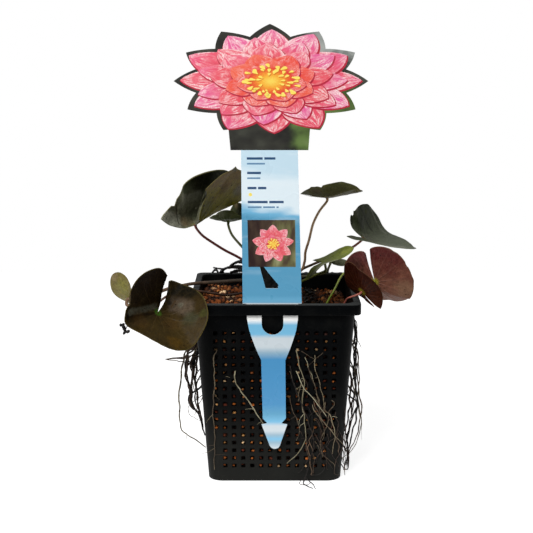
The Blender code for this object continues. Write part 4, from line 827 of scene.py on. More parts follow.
PETAL_SHADE = dict(right=0.0004, down=0.0007, longer=1.01, wider=1.07, behind=0.15)
STAMEN_SHAPE = ((0.0, 0.35), (0.25, 0.55), (0.55, 0.9), (0.8, 1.0), (1.0, 0.55))
STAMEN_TURNS = (-0.32, 0.32)
STAMEN_DRIFT = (-0.025, 0.025)
STAMEN_LENGTHS = (0.75, 1.25)
STAMEN_TILTS = (-0.5, 0.5)
STAMEN_WIDTH = 0.34
STAMEN_SHADE = dict(right=0.0004, down=0.0006)
OVERLAP = 0.3
BOX_STEP = 0.002


class Field:
    """A number that varies over a surface. Arithmetic on it adds Math nodes to its material."""

    def __init__(self, tree, socket):
        self.tree = tree
        self.socket = socket

    def math(self, operation, other=None, third=None):
        node = self.tree.nodes.new("ShaderNodeMath")
        node.operation = operation
        for slot, value in zip(node.inputs, (self, other, third)):
            if isinstance(value, Field):
                self.tree.links.new(value.socket, slot)
            elif value is not None:
                slot.default_value = value
        return Field(self.tree, node.outputs[0])

    def __add__(self, other):
        return self.math("ADD", other)

    __radd__ = __add__

    def __mul__(self, other):
        return self.math("MULTIPLY", other)

    __rmul__ = __mul__

    def __sub__(self, other):
        return self.math("SUBTRACT", other)

    def __rsub__(self, other):
        return self.math("MULTIPLY_ADD", -1.0, other)

    def __truediv__(self, other):
        return self.math("DIVIDE", other)

    def smooth(self, low, high):
        """0 below low, 1 above high, and a soft step between; low may be the larger."""
        node = self.tree.nodes.new("ShaderNodeMapRange")
        node.interpolation_type = "SMOOTHSTEP"
        self.tree.links.new(self.socket, node.inputs[0])
        node.inputs[1].default_value = low
        node.inputs[2].default_value = high
        return Field(self.tree, node.outputs[0])


class Skin:
    """A material that is put together from fields."""

    def __init__(self, name):
        self.material = bpy.data.materials.new(name)
        self.material.use_nodes = True
        self.tree = self.material.node_tree
        self.shader = self.tree.nodes["Principled BSDF"]
        self.place = self.node("TexCoord", {}).outputs["Object"]

    def feed(self, socket, value):
        """Links or sets a socket. A colour of three parts is one as it looks on screen, 0 to 255."""
        if isinstance(value, Field):
            value = value.socket
        if isinstance(value, bpy.types.NodeSocket):
            self.tree.links.new(value, socket)
        elif socket.type == "RGBA" and len(value) == 3:
            socket.default_value = paint(*value)
        else:
            socket.default_value = value

    def node(self, kind, inputs, **settings):
        """A new node with these settings, and with these values or links in its inputs."""
        node = self.tree.nodes.new("ShaderNode" + kind)
        for name, value in settings.items():
            setattr(node, name, value)
        for key, value in inputs.items():
            self.feed(node.inputs[key], value)
        return node

    def split(self, vector):
        """The three parts of a vector socket, as fields."""
        return [Field(self.tree, part) for part in self.node("SeparateXYZ", {0: vector}).outputs]

    def uv(self, name):
        return self.node("UVMap", {}, uv_map=name).outputs[0]

    def stretched(self, vector, factors):
        return self.node("VectorMath", {0: vector, 1: factors}, operation="MULTIPLY").outputs[0]

    def joined(self, x, y, z):
        return self.node("CombineXYZ", {0: x, 1: y, 2: z}).outputs[0]

    def noise(self, size, detail=2.0, rough=0.5, at=None, warp=0.0):
        """Soft noise, 0 to 1, with lumps of about this size."""
        inputs = {"Vector": at or self.place, "Scale": 1.0 / size, "Detail": detail}
        node = self.node("TexNoise", {**inputs, "Roughness": rough, "Distortion": warp})
        return Field(self.tree, node.outputs[0])

    def cells(self, size, feature="F1", at=None):
        """How far each point is from its cell's middle or, with DISTANCE_TO_EDGE, from its edge."""
        inputs = {"Vector": at or self.place, "Scale": 1.0 / size}
        return Field(self.tree, self.node("TexVoronoi", inputs, feature=feature).outputs["Distance"])

    def per_island(self):
        """A number that is the same all over each loose part of the mesh."""
        return Field(self.tree, self.node("NewGeometry", {}).outputs["Random Per Island"])

    def mix(self, share, first, second):
        return self.node("Mix", {0: share, 6: first, 7: second}, data_type="RGBA").outputs[2]

    def scaled(self, colour, factor):
        """The colour, made lighter or darker by a field."""
        return self.node("VectorMath", {0: colour, "Scale": factor}, operation="SCALE").outputs[0]

    def ramp(self, share, stops):
        """Colours met one after another as the share grows; a stop is (share, colour)."""
        node = self.node("ValToRGB", {0: share})
        elements = node.color_ramp.elements
        while len(elements) < len(stops):
            elements.new(0.5)
        for element, (place, colour) in zip(elements, stops):
            element.position = place
            element.color = paint(*colour)
        return node.outputs[0]

    def bump(self, height, depth):
        """Raises the surface by a field; depth is what a height of 1 stands for."""
        node = self.node("Bump", {"Distance": depth, "Height": height})
        self.tree.links.new(node.outputs[0], self.shader.inputs["Normal"])

    def finish(self, colour, roughness, specular=0.5):
        self.feed(self.shader.inputs["Base Color"], colour)
        self.feed(self.shader.inputs["Roughness"], roughness)
        self.shader.inputs["Specular IOR Level"].default_value = specular
        return self.material


def paint(red, green, blue):
    """A colour given as it looks on screen, 0 to 255, as the shader's linear colour."""
    linear = []
    for part in (red, green, blue):
        part = part / 255
        linear.append(part / 12.92 if part <= 0.04045 else ((part + 0.055) / 1.055) ** 2.4)
    return (*linear, 1.0)


def darker(colour, share):
    """A colour as it looks on screen, at a share of its brightness, as the shader's own."""
    return (*(share * part for part in paint(*colour)[:3]), 1.0)


def make_mesh(name, points, faces, smooth=True):
    mesh = bpy.data.meshes.new(name)
    mesh.from_pydata([tuple(point) for point in points], [], [tuple(face) for face in faces])
    mesh.validate()
    mesh.update()
    if smooth:
        mesh.shade_smooth()
    return mesh


def mesh_from(bm, name):
    """Turns working geometry into a mesh."""
    mesh = bpy.data.meshes.new(name)
    bm.to_mesh(mesh)
    bm.free()
    return mesh


def add_object(name, data):
    item = bpy.data.objects.new(name, data)
    bpy.context.scene.collection.objects.link(item)
    return item


def evaluated_mesh(item):
    """An object's mesh with its modifiers applied, or a curve's filled shape."""
    graph = bpy.context.evaluated_depsgraph_get()
    return bpy.data.meshes.new_from_object(item.evaluated_get(graph))


def add_uv(mesh, name, values):
    """A UV map from one pair of numbers for each vertex."""
    layer = mesh.uv_layers.new(name=name)
    corners = np.empty(len(mesh.loops), np.int32)
    mesh.loops.foreach_get("vertex_index", corners)
    layer.uv.foreach_set("vector", np.asarray(values, np.float32)[corners].ravel())


def place_piece(name, mesh, materials, slot, replaces=()):
    """Puts a mesh in the scene as a piece that rides with the pot."""
    for material in materials:
        mesh.materials.append(material)
    piece = add_object(name, mesh)
    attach(piece, BODY)
    if replaces:
        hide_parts(*replaces)
    return piece


def slot_of(node):
    """The material slot that the record gives a node."""
    return next(part["material_slot"] for part in frame["record"]["subparts"] if part["node"] == node)


def bevel_edges(piece, width, angle=35):
    modifier = piece.modifiers.new("soft_edges", "BEVEL")
    modifier.width = width
    modifier.segments = 1
    modifier.limit_method = "ANGLE"
    modifier.angle_limit = math.radians(angle)
    modifier.harden_normals = False


def wall_half(z):
    """Half the width across the outside of the basket at this height."""
    return WALL_BASE_HALF + (WALL_TOP_HALF - WALL_BASE_HALF) * z / POT_HEIGHT


def rounded_square(half, corner, z, side_steps=1):
    """One ring of a square with round corners, with the same number of points for any size."""
    ring = []
    flat = half - corner
    for quarter in range(4):
        turn = Matrix.Rotation(quarter * math.pi / 2, 3, "Z")
        for step in range(CORNER_STEPS + 1):
            angle = step / CORNER_STEPS * math.pi / 2
            point = Vector((flat + corner * math.cos(angle), flat + corner * math.sin(angle), z))
            ring.append(turn @ point)
        for step in range(1, side_steps):
            point = Vector((flat - 2 * flat * step / side_steps, half, z))
            ring.append(turn @ point)
    return ring


def loft_mesh(name, rings, close=False):
    """A surface through the rings. It closes on its first ring or ends in two flat caps."""
    count = len(rings[0])
    points = [point for ring in rings for point in ring]
    faces = []
    spans = len(rings) if close else len(rings) - 1
    for row in range(spans):
        lower = row * count
        upper = (row + 1) % len(rings) * count
        for i in range(count):
            j = (i + 1) % count
            faces.append((lower + i, lower + j, upper + j, upper + i))
    if not close:
        faces.append(tuple(reversed(range(count))))
        faces.append(tuple(range(len(points) - count, len(points))))
    return make_mesh(name, points, faces)


def wall_point(side, s, z, inset=0.0):
    """A point of the basket's outside, a distance s round from the middle of a side."""
    half = wall_half(z)
    flat = half - WALL_CORNER
    past = max(0.0, abs(s) - flat) / WALL_CORNER
    corner = WALL_CORNER - inset
    across = min(abs(s), flat) + corner * math.sin(past)
    out = flat + corner * math.cos(past)
    point = Vector((math.copysign(across, s), -out, z))
    return Matrix.Rotation(side * math.pi / 2, 3, "Z") @ point


def row_height(row):
    return HOLE_TOP_Z - row * HOLE_PITCH_Z


def row_columns(row):
    """How many openings a row has. The lowest rows have fewer."""
    return HOLE_COLUMNS - 2 if row >= HOLE_ROWS - NARROW_ROWS else HOLE_COLUMNS


def column_middle(column, columns):
    return (column - (columns - 1) / 2) * HOLE_PITCH_U


def basket_mesh():
    """The four walls as one lattice with an opening for every hole of the mesh."""
    reach = HOLE_SIDE / 2
    lines = []
    for column in range(HOLE_COLUMNS):
        middle = column_middle(column, HOLE_COLUMNS)
        lines += [middle - reach, middle + reach]
    heights = [FOOT_ROUND]
    for row in reversed(range(HOLE_ROWS)):
        heights += [row_height(row) - reach, row_height(row) + reach]
    heights.append(POT_HEIGHT - RIM_THICK)
    points = []
    rows = []
    for z in heights:
        end = wall_half(z) - WALL_CORNER + WALL_CORNER * math.pi / 4
        corner_step = (end - lines[-1]) / CORNER_STEPS
        corner_lines = [lines[-1] + corner_step * (i + 1) for i in range(CORNER_STEPS)]
        across = [-s for s in reversed(corner_lines[:-1])] + lines + corner_lines
        rows.append([])
        for side in range(4):
            for s in across:
                rows[-1].append(len(points))
                points.append(wall_point(side, s, z))
    per_side = len(rows[0]) // 4
    faces = []
    for level, (lower, upper) in enumerate(zip(rows, rows[1:])):
        for i in range(len(lower)):
            j = (i + 1) % len(lower)
            line = i % per_side - (CORNER_STEPS - 1)
            opening = 0 <= line < len(lines) and line % 2 == 0 and level % 2 == 1
            if opening:
                row = HOLE_ROWS - 1 - level // 2
                spare = (HOLE_COLUMNS - row_columns(row)) // 2
                opening = spare <= line // 2 < HOLE_COLUMNS - spare
            if not opening:
                faces.append((lower[i], lower[j], upper[j], upper[i]))
    return make_mesh("pot_basket", points, faces, smooth=False)


def pot_plastic():
    """Black moulded plastic with a fine grain, soft scuffs and a little dried dust, with painted bounce
    light that lightens it towards the foot and a painted highlight along the rim's top.
    """
    skin = Skin("pot_plastic")
    _, _, z = skin.split(skin.place)
    dust = skin.noise(0.03, 4, 0.6).smooth(0.48, 0.8)
    # Painted bounce light: the walls grow lighter towards the foot, mixed towards the dust tone
    low = z.smooth(0.08, 0.002)
    colour = skin.mix(dust * 0.22 + low * 0.56, POT_TONES["plastic"], POT_TONES["dust"])
    marks = skin.noise(0.0035, 4, 0.7, warp=0.6).smooth(0.55, 0.8)
    colour = skin.mix(marks * 0.1, colour, POT_TONES["scuff"])
    # Painted highlight: a light line along the rim's top
    colour = skin.mix(z.smooth(0.14, 0.1409) * 0.55, colour, POT_TONES["edge"])
    grain = skin.noise(0.0006, 2, 0.6)
    skin.bump(grain + skin.noise(0.004, 2) * 1.5, 0.00005)
    return skin.finish(colour, 0.48 + dust * 0.14 + grain * 0.12, specular=0.05)


def make_pot():
    plastic = pot_plastic()
    basket = place_piece("pot_basket", basket_mesh(), [plastic], "pot_plastic", ["pot"])
    shell = basket.modifiers.new("wall", "SOLIDIFY")
    shell.thickness = WALL_THICK
    shell.offset = -1
    bevel_edges(basket, HOLE_BEVEL)
    rim = place_piece("pot_rim", rim_mesh(), [plastic], "pot_plastic")
    cut_slot(rim)
    place_piece("pot_floor", floor_mesh(), [plastic], "pot_plastic")


def rim_profile():
    """The rim's section as (half width, corner radius, height), all the way round it."""
    inner = wall_half(POT_HEIGHT) - WALL_THICK
    section = []
    corners = (
        (inner, WALL_CORNER - WALL_THICK, POT_HEIGHT, 180, 90),
        (RIM_HALF, RIM_CORNER, POT_HEIGHT, 90, 0),
        (RIM_HALF, RIM_CORNER, POT_HEIGHT - RIM_SKIRT, 0, -90),
        (RIM_HALF - RIM_THICK, RIM_CORNER - RIM_THICK, POT_HEIGHT - RIM_SKIRT, -90, -180),
    )
    for half, corner, z, first, last in corners:
        inward = half in (inner, RIM_HALF - RIM_THICK)
        middle_half = half + RIM_ROUND if inward else half - RIM_ROUND
        middle_z = z - RIM_ROUND if first > 0 else z + RIM_ROUND
        for step in range(4):
            angle = math.radians(first + (last - first) * step / 3)
            shift = RIM_ROUND * math.cos(angle)
            section.append((middle_half + shift, corner + shift, middle_z + RIM_ROUND * math.sin(angle)))
    under = POT_HEIGHT - RIM_THICK
    section.append((RIM_HALF - RIM_THICK, RIM_CORNER - RIM_THICK, under - RIM_ROUND))
    section.append((RIM_HALF - RIM_THICK - RIM_ROUND, RIM_CORNER - RIM_THICK, under))
    section.append((wall_half(under) - WALL_THICK / 2, WALL_CORNER, under))
    section.append((wall_half(under) - WALL_THICK, WALL_CORNER - WALL_THICK, under - RIM_THICK))
    return section


def rim_mesh():
    rings = [rounded_square(half, corner, z, 8) for half, corner, z in reversed(rim_profile())]
    mesh = loft_mesh("pot_rim", rings, close=True)
    mesh.set_sharp_from_angle(angle=math.radians(50))
    return mesh


def cut_slot(rim):
    """The slot in the rim that the label hangs through."""
    bm = bmesh.new()
    size = Matrix.Diagonal((2 * (FORK_HALF + SLOT_ROOM), LABEL_SLOT_WIDE, 6 * RIM_THICK, 1.0))
    middle = Matrix.Translation((label_middle(POT_HEIGHT), LABEL_Y, POT_HEIGHT))
    bmesh.ops.create_cube(bm, size=1.0, matrix=middle @ size)
    cutter = add_object("slot", mesh_from(bm, "slot"))
    modifier = rim.modifiers.new("slot", "BOOLEAN")
    modifier.object = cutter
    modifier.solver = "EXACT"
    mesh = evaluated_mesh(rim)
    rim.modifiers.clear()
    rim.data = mesh
    bpy.data.objects.remove(cutter)


def floor_mesh():
    """The base, a slab with a rounded foot."""
    rings = []
    for step in range(5):
        angle = math.radians(90 * step / 4)
        inset = FOOT_ROUND * (1 - math.sin(angle))
        z = FOOT_ROUND * (1 - math.cos(angle))
        rings.append(rounded_square(wall_half(z) - inset, WALL_CORNER - inset, z))
    top = rounded_square(wall_half(FLOOR_THICK) - FLOOR_INSET, WALL_CORNER - FLOOR_INSET, FLOOR_THICK)
    mesh = loft_mesh("pot_floor", [*rings, top])
    mesh.set_sharp_from_angle(angle=math.radians(40))
    return mesh


def soil_height(x):
    return SOIL_LEVEL + SOIL_SLOPE * x


def random_turn(rng):
    axis = Vector((rng.gauss(0, 1), rng.gauss(0, 1), rng.gauss(0, 1)))
    return Matrix.Rotation(rng.uniform(0, 2 * math.pi), 3, axis.normalized())


def random_way(rng):
    return random_turn(rng) @ Vector((0, 0, 1))


def random_shift(rng, reach):
    return Vector([rng.uniform(0, reach) for _ in range(3)])


def grain_shapes(rng):
    """A few angular lumps of unit size, which the grains are copies of."""
    shapes = []
    for _ in range(GRAIN_SHAPES):
        bm = bmesh.new()
        bmesh.ops.create_icosphere(bm, subdivisions=2, radius=1.0)
        shift = random_shift(rng, 9)
        flats = [random_way(rng) for _ in range(GRAIN_FLATS)]
        for vert in bm.verts:
            way = vert.co.normalized()
            reach = 1 + GRAIN_LUMP_RISE * noise.noise(way * GRAIN_LUMPS + shift)
            for flat in flats:
                facing = way.dot(flat)
                if facing > GRAIN_FLAT_FROM:
                    reach = min(reach, GRAIN_FLAT_AT / facing)
            vert.co = way * reach
        points = np.array([vert.co[:] for vert in bm.verts])
        faces = np.array([[vert.index for vert in face.verts] for face in bm.faces])
        shapes.append((points, faces))
        bm.free()
    return shapes


def grains_mesh(name, rng, places):
    """One mesh of loose grains; a place is (middle, radius)."""
    shapes = grain_shapes(rng)
    all_points = []
    all_faces = []
    start = 0
    for middle, radius in places:
        points, faces = rng.choice(shapes)
        stretch = np.array([rng.uniform(*span) for span in GRAIN_STRETCH])
        turn = np.array(random_turn(rng))
        all_points.append(points * (stretch * radius) @ turn.T + np.array(middle))
        all_faces.append(faces + start)
        start += len(points)
    return make_mesh(name, np.concatenate(all_points), np.concatenate(all_faces).tolist())


def clay(name, deep, body, pale, damp, shaded=False):
    """Fired clay: a colour for each grain, pores, and damp patches.

    Shaded grains get painted shade that darkens them near the rim, and the others a dark streak beside the
    label.
    """
    skin = Skin(name)
    own = skin.per_island() + (skin.noise(0.0012, 3) - 0.5) * 0.3
    grains = ((0.0, deep), (0.25, deep), (0.5, body), (0.74, body), (0.92, pale), (1.0, CLAY_LIGHT))
    colour = skin.ramp(own, grains)
    wet = skin.noise(0.014, 3).smooth(0.44, 0.6)
    colour = skin.mix(wet * damp, colour, CLAY_DAMP)
    x, _, z = skin.split(skin.place)
    if shaded:
        # Painted shade under the rim: the grains in the openings grow darker towards the top
        colour = skin.scaled(colour, z.smooth(0.1, 0.055) * 0.55 + 0.45)
    else:
        # A dark streak across the heap beside the label
        drift = (skin.noise(0.006, 3) - 0.5) * 0.012
        off_streak = (x + drift - DARK_STREAK_AT).math("ABSOLUTE").smooth(DARK_STREAK_REACH, DARK_STREAK_FADE * DARK_STREAK_REACH)
        colour = skin.scaled(colour, off_streak * (1 - DARK_STREAK_BRIGHTNESS) + DARK_STREAK_BRIGHTNESS)
    skin.bump(skin.noise(0.0005, 3, 0.7), 0.00012)
    return skin.finish(colour, 0.9 - wet * 0.25, specular=0.2)


def bed_mesh():
    """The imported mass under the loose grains, close behind the walls."""
    levels = range(1, int((SOIL_LEVEL - 2 * BED_DROP) / BED_STEP))
    heights = [FLOOR_THICK, *(level * BED_STEP for level in levels)]
    corner = WALL_CORNER - BED_INSET
    rings = [rounded_square(wall_half(z) - BED_INSET, corner, z, 9) for z in heights]
    edge = rounded_square(wall_half(SOIL_LEVEL) - BED_INSET / 2, corner, SOIL_LEVEL, 9)
    for share in (1.0, 0.8, 0.6, 0.4, 0.2):
        inner = [(share * point.x, share * point.y) for point in edge]
        rings.append([Vector((x, y, soil_height(x) - BED_DROP)) for x, y in inner])
    return loft_mesh("granule_bed", rings)


def on_rounded(x, y, half, corner):
    """Moves a point of a square's edge onto the square's round corner, where it is past one."""
    flat = half - corner
    past_x = abs(x) - flat
    past_y = abs(y) - flat
    if past_x <= 0 or past_y <= 0:
        return x, y
    length = math.hypot(past_x, past_y)
    across = flat + corner * past_x / length
    along = flat + corner * past_y / length
    return math.copysign(across, x), math.copysign(along, y)


def heap_grid():
    """The heap's grid as its points (u, v, lift): across from -1 to 1, and up from the heap's height."""
    rng = random.Random(SOIL_SEED)
    shift = 2 * HEAP_SHIFT / HEAP_STEPS
    grid = []
    for i in range(HEAP_STEPS + 1):
        row = []
        for j in range(HEAP_STEPS + 1):
            u = 2 * i / HEAP_STEPS - 1
            v = 2 * j / HEAP_STEPS - 1
            lift = rng.uniform(*(GRANULE_TOP if (i + j) % 2 == 0 else GRANULE_DIP))
            du = rng.uniform(-shift, shift)
            dv = rng.uniform(-shift, shift)
            if 0 < i < HEAP_STEPS and 0 < j < HEAP_STEPS:
                row.append((u + du, v + dv, lift))
            else:
                row.append((u, v, GRANULE_DIP[1]))
        grid.append(row)
    return grid


def heap_point(u, v, lift):
    """A point of the heap. The grid's squares grow as round at their corners as the basket is."""
    half = wall_half(SOIL_LEVEL) - HEAP_INSET
    ring = min(1.0, max(abs(u), abs(v)))
    x, y = on_rounded(u * half, v * half, half * ring, WALL_CORNER * ring)
    return Vector((x, y, soil_height(x) + lift))


def top_places(rng):
    """Where the grains of the heap lie: one under each point of its grid, and more below those."""
    half = wall_half(SOIL_LEVEL) - HEAP_INSET
    places = []
    for i, row in enumerate(heap_grid()):
        for j, (u, v, lift) in enumerate(row):
            top = (i + j) % 2 == 0
            radius = rng.uniform(*(TOP_RADIUS if top else DIP_RADIUS))
            edge = 1 - radius / half
            point = heap_point(max(-edge, min(edge, u)), max(-edge, min(edge, v)), lift)
            if not top:
                point.z -= DIP_DROP
            places.append((point - Vector((0, 0, GRAIN_SINK * radius)), radius))
            if top:
                places.append((point - Vector((0, 0, UNDER_SINK * radius)), radius))
    return places


def mesh_places(rng):
    """Where the grains show in the openings of the mesh."""
    places = []
    for side in range(4):
        for row in range(HOLE_ROWS):
            columns = row_columns(row)
            for column in range(columns):
                if rng.random() < EMPTY_SHARE:
                    continue
                s = column_middle(column, columns) + rng.uniform(*SIDE_DRIFT)
                z = row_height(row) + rng.uniform(*SIDE_DROP)
                radius = rng.uniform(*SIDE_RADIUS)
                depth = WALL_THICK + SIDE_SINK * radius + rng.uniform(*SIDE_DEPTH)
                places.append((wall_point(side, s, z, depth), radius))
    return places


def make_granules():
    rng = random.Random(GRAIN_SEED)
    heap, packed = (clay(name, **look) for name, look in CLAYS.items())
    top = grains_mesh("granules_heap", rng, top_places(rng))
    place_piece("granules_heap", top, [heap], "clay_granules", ["granules"])
    sides = grains_mesh("granules_in_mesh", rng, mesh_places(rng))
    place_piece("granules_in_mesh", sides, [packed], "clay_granules")
    skin = Skin("granule_bed")
    colour = skin.mix(skin.noise(0.003, 3).smooth(0.4, 0.7), *BED_TONES)
    skin.bump(skin.cells(0.003), 0.0008)
    place_piece("granule_bed", bed_mesh(), [skin.finish(colour, 0.9)], "clay_granules")


def half_sweep(leaf):
    """The angle from the way to the tip round to the edge of the notch."""
    return math.pi - math.radians(leaf["notch"]) / 2


def margin_reach(leaf, angle):
    """How far the blade's edge lies from the stalk, at an angle from the way to its tip."""
    centre = (leaf["tip"] - leaf["lobe"]) / 2
    length = (leaf["tip"] + leaf["lobe"]) / 2
    a = (math.cos(angle) / length) ** 2 + (math.sin(angle) / leaf["side"]) ** 2
    b = -2 * math.cos(angle) * centre / length**2
    c = (centre / length) ** 2 - 1
    reach = (-b + math.sqrt(b * b - 4 * a * c)) / (2 * a)
    end = leaf["ends"][1 if angle > 0 else 0]
    to_notch = half_sweep(leaf) - abs(angle)
    if end >= 0:
        reach *= 1 + end * max(0.0, 1 - to_notch / POINTED_REACH) ** 2
    else:
        near = min(1.0, max(0.0, 1 - to_notch / ROUNDED_REACH))
        reach *= 1 + end * (1 - math.sqrt(1 - near**2))
    more = 0
    for at, share in zip(MARGIN_AT, leaf.get("margin", ())):
        off = abs(math.degrees(angle) - at) / MARGIN_SPREAD
        if off < 1:
            more += share * (1 + math.cos(math.pi * off)) / 2
    reach *= (1 + more) * (1 + MARGIN_RIPPLE * math.sin(5 * angle + leaf["phase"]))
    if "blunt" in leaf:
        direction, distance = leaf["blunt"]
        ahead = math.cos(angle - math.radians(direction))
        if reach * ahead > distance:
            reach = distance / ahead
    for at, width, depth in leaf.get("bites", ()):
        reach *= 1 - depth * math.exp(-(((angle - at) / width) ** 2))
    return reach


def fold(point, line):
    """Rolls what lies left of a line across the blade up round a cylinder."""
    direction, offset, bend, radius = line
    direction = math.radians(direction)
    along = Vector((math.cos(direction), math.sin(direction), 0))
    across = Vector((-along.y, along.x, 0))
    beyond = point.dot(across) - offset
    if beyond <= 0:
        return point
    sign = 1 if bend >= 0 else -1
    bend = abs(math.radians(bend))
    turned = min(beyond / radius, bend)
    rest = max(0.0, beyond - radius * bend)
    height = point.z * sign
    out = radius * math.sin(turned) + rest * math.cos(turned) - height * math.sin(turned)
    up = radius * (1 - math.cos(turned)) + rest * math.sin(turned) + height * math.cos(turned)
    return along * point.dot(along) + across * (offset + out) + Vector((0, 0, up * sign))


def flat_point(leaf, angle, share):
    """A point of the blade before it is folded, at a share of the way to the edge."""
    reach = margin_reach(leaf, angle) * share
    lift = leaf["cup"] + leaf["wave"] * math.sin(3 * angle + leaf["phase"])
    gape = math.radians(leaf.get("gape", 0))
    angle *= 1 - gape * math.sin(math.pi * share) / half_sweep(leaf)
    return Vector((reach * math.cos(angle), reach * math.sin(angle), lift * share**2))


def blade_point(leaf, angle, share):
    point = flat_point(leaf, angle, share)
    for line in leaf["folds"]:
        point = fold(point, line)
    turn = (
        Matrix.Rotation(math.radians(leaf["bearing"]), 3, "Z")
        @ Matrix.Rotation(-math.radians(leaf["climb"]), 3, "Y")
        @ Matrix.Rotation(math.radians(leaf["roll"]), 3, "X")
    )
    return Vector(leaf["at"]) + turn @ point


def stalk_seat(leaf):
    """Where the stalk meets the blade, and the way out of the blade's underside there."""
    middle = blade_point(leaf, 0, 0)
    ahead = blade_point(leaf, 0, 0.05)
    aside = blade_point(leaf, math.pi / 2, 0.05)
    down = -(ahead - middle).cross(aside - middle).normalized()
    return middle, down


def thin_shell(name, points, faces, above, below):
    """A sheet with a thickness: each point moves out along its normal by above and below.

    The faces of its mesh come in the order upper side, underside, edge.
    """
    guide = make_mesh("guide", points, faces)
    normals = np.empty(len(guide.vertices) * 3, np.float32)
    guide.vertex_normals.foreach_get("vector", normals)
    normals = normals.reshape(-1, 3)
    bpy.data.meshes.remove(guide)
    points = np.array([tuple(point) for point in points])
    upper = points + normals * np.asarray(above)[:, None]
    lower = points - normals * np.asarray(below)[:, None]
    count = len(points)
    single = {}
    for face in faces:
        for a, b in zip(face, face[1:] + face[:1]):
            if (b, a) in single:
                del single[(b, a)]
            else:
                single[(a, b)] = True
    under = [tuple(count + i for i in reversed(face)) for face in faces]
    edge = [(b, a, count + a, count + b) for a, b in single]
    return make_mesh(name, np.concatenate([upper, lower]), list(faces) + under + edge)


def vein_share(angle, share):
    """How much of a vein there is at this place: 1 along the middle of a main vein by the stalk."""
    turn = angle / (2 * math.pi) * BLADE_VEINS
    off = abs(turn - round(turn))
    return max(0.0, 1 - off * SPOKES_PER_VEIN) * (1 - share) ** 0.7


def blade_mesh(name, leaf):
    step = 2 * math.pi / (BLADE_VEINS * SPOKES_PER_VEIN)
    inner = int(half_sweep(leaf) / step)
    spokes = [-half_sweep(leaf), *(spoke * step for spoke in range(-inner, inner + 1)), half_sweep(leaf)]
    shift = Vector((leaf["phase"] * 7, leaf["tip"] * 100, leaf["side"] * 100))
    points = [blade_point(leaf, 0, 0)]
    flat = [(0.5, 0.5)]
    reach = [(0.0, 0.5)]
    above = [BLADE_HALF]
    below = [BLADE_HALF]
    for angle in spokes:
        for ring in range(1, BLADE_RINGS + 1):
            share = ring / BLADE_RINGS
            place = flat_point(leaf, angle, share)
            points.append(blade_point(leaf, angle, share))
            flat.append((place.x / UV_SPAN + 0.5, place.y / UV_SPAN + 0.5))
            reach.append((share, angle / (2 * math.pi) + 0.5))
            lumps = noise.noise(place * BLADE_LUMPS + shift)
            lumps = lumps + BLADE_RIPPLE_SHARE * noise.noise(place * BLADE_RIPPLES + shift)
            swell = BLADE_SWELL * lumps * min(1.0, 3 * share)
            half = BLADE_HALF + (BLADE_EDGE_HALF - BLADE_HALF) * share**6
            vein = vein_share(angle, share)
            above.append(half + swell - VEIN_GROOVE * vein)
            below.append(half - swell + VEIN_RIDGE * vein)
    faces = []
    for spoke in range(len(spokes) - 1):
        first = 1 + spoke * BLADE_RINGS
        second = first + BLADE_RINGS
        faces.append((0, first, second))
        for ring in range(BLADE_RINGS - 1):
            faces.append((first + ring, first + ring + 1, second + ring + 1, second + ring))
    mesh = thin_shell(name, points, faces, above, below)
    add_uv(mesh, "flat", flat + flat)
    add_uv(mesh, "reach", reach + reach)
    index = [0] * len(faces) + [1] * (len(mesh.polygons) - len(faces))
    mesh.polygons.foreach_set("material_index", index)
    return mesh


def margin_angle(leaf, x, y, steps):
    """The angle at which a blade's edge passes nearest to a pixel of the photograph."""
    def miss(angle):
        px, py, _ = to_pixel(blade_point(leaf, angle, 1.0))
        return math.hypot(px - x, py - y)

    return min([half_sweep(leaf) * step / steps for step in range(-steps, steps + 1)], key=miss)


def bite_margin(name):
    """Gives a blade its bites as (angle, width, share of the reach), from their pixels."""
    leaf = LEAVES[name]
    bites = []
    for x, y, width, depth in LEAF_BITES.get(name, ()):
        bites.append((margin_angle(leaf, x, y, BITE_STEPS), math.radians(width), depth))
    leaf["bites"] = bites


def blade_pixels(leaf):
    """Points all over a blade as (pixel x, pixel y, how far off, flat x, flat y)."""
    found = []
    for spoke in range(-MARK_SPOKES, MARK_SPOKES + 1):
        for ring in range(1, MARK_RINGS + 1):
            angle = half_sweep(leaf) * spoke / MARK_SPOKES
            place = flat_point(leaf, angle, ring / MARK_RINGS)
            pixel = to_pixel(blade_point(leaf, angle, ring / MARK_RINGS))
            found.append((*pixel, place.x, place.y))
    return found


def mark_place(pixels, x, y):
    """Where on the flat blade a pixel lies, on the layer nearest the camera, and how far off it is."""
    def miss(point):
        return max(MARK_MISS, math.hypot(point[0] - x, point[1] - y)), point[2]

    nearest = min(pixels, key=miss)
    return nearest[3], nearest[4], nearest[2]


def streak_gap(x, y, first, last):
    """How far each point is from the straight streak between two places on the flat blade."""
    span_x = last[0] - first[0]
    span_y = last[1] - first[1]
    length = max(1e-12, span_x**2 + span_y**2)
    along = ((x - first[0]) * span_x + (y - first[1]) * span_y) * (1 / length)
    along = along.math("MAXIMUM", 0.0).math("MINIMUM", 1.0)
    off_x = x - first[0] - along * span_x
    off_y = y - first[1] - along * span_y
    return (off_x * off_x + off_y * off_y).math("SQRT")


def leaf_marks(skin, name, x, y, here, colour):
    """Patches and streaks of other colours at their places on the blade, some of them painted sheen, each
    with a ragged edge.
    """
    pixels = blade_pixels(LEAVES[name])
    ragged = skin.noise(0.0055, 3, 0.6, at=here) - 0.5
    for *ends, reach, shade, strength in LEAF_MARKS.get(name, ()):
        first = mark_place(pixels, *ends[:2])
        last = mark_place(pixels, *ends[-2:])
        reach = reach * first[2] / FOCAL_PIXELS
        off = streak_gap(x, y, first, last) + ragged * (reach * 1.1)
        patch = off.smooth(reach * 1.25, reach * 0.45) * strength
        colour = skin.mix(patch, colour, MARK_COLOURS[shade])
    return colour


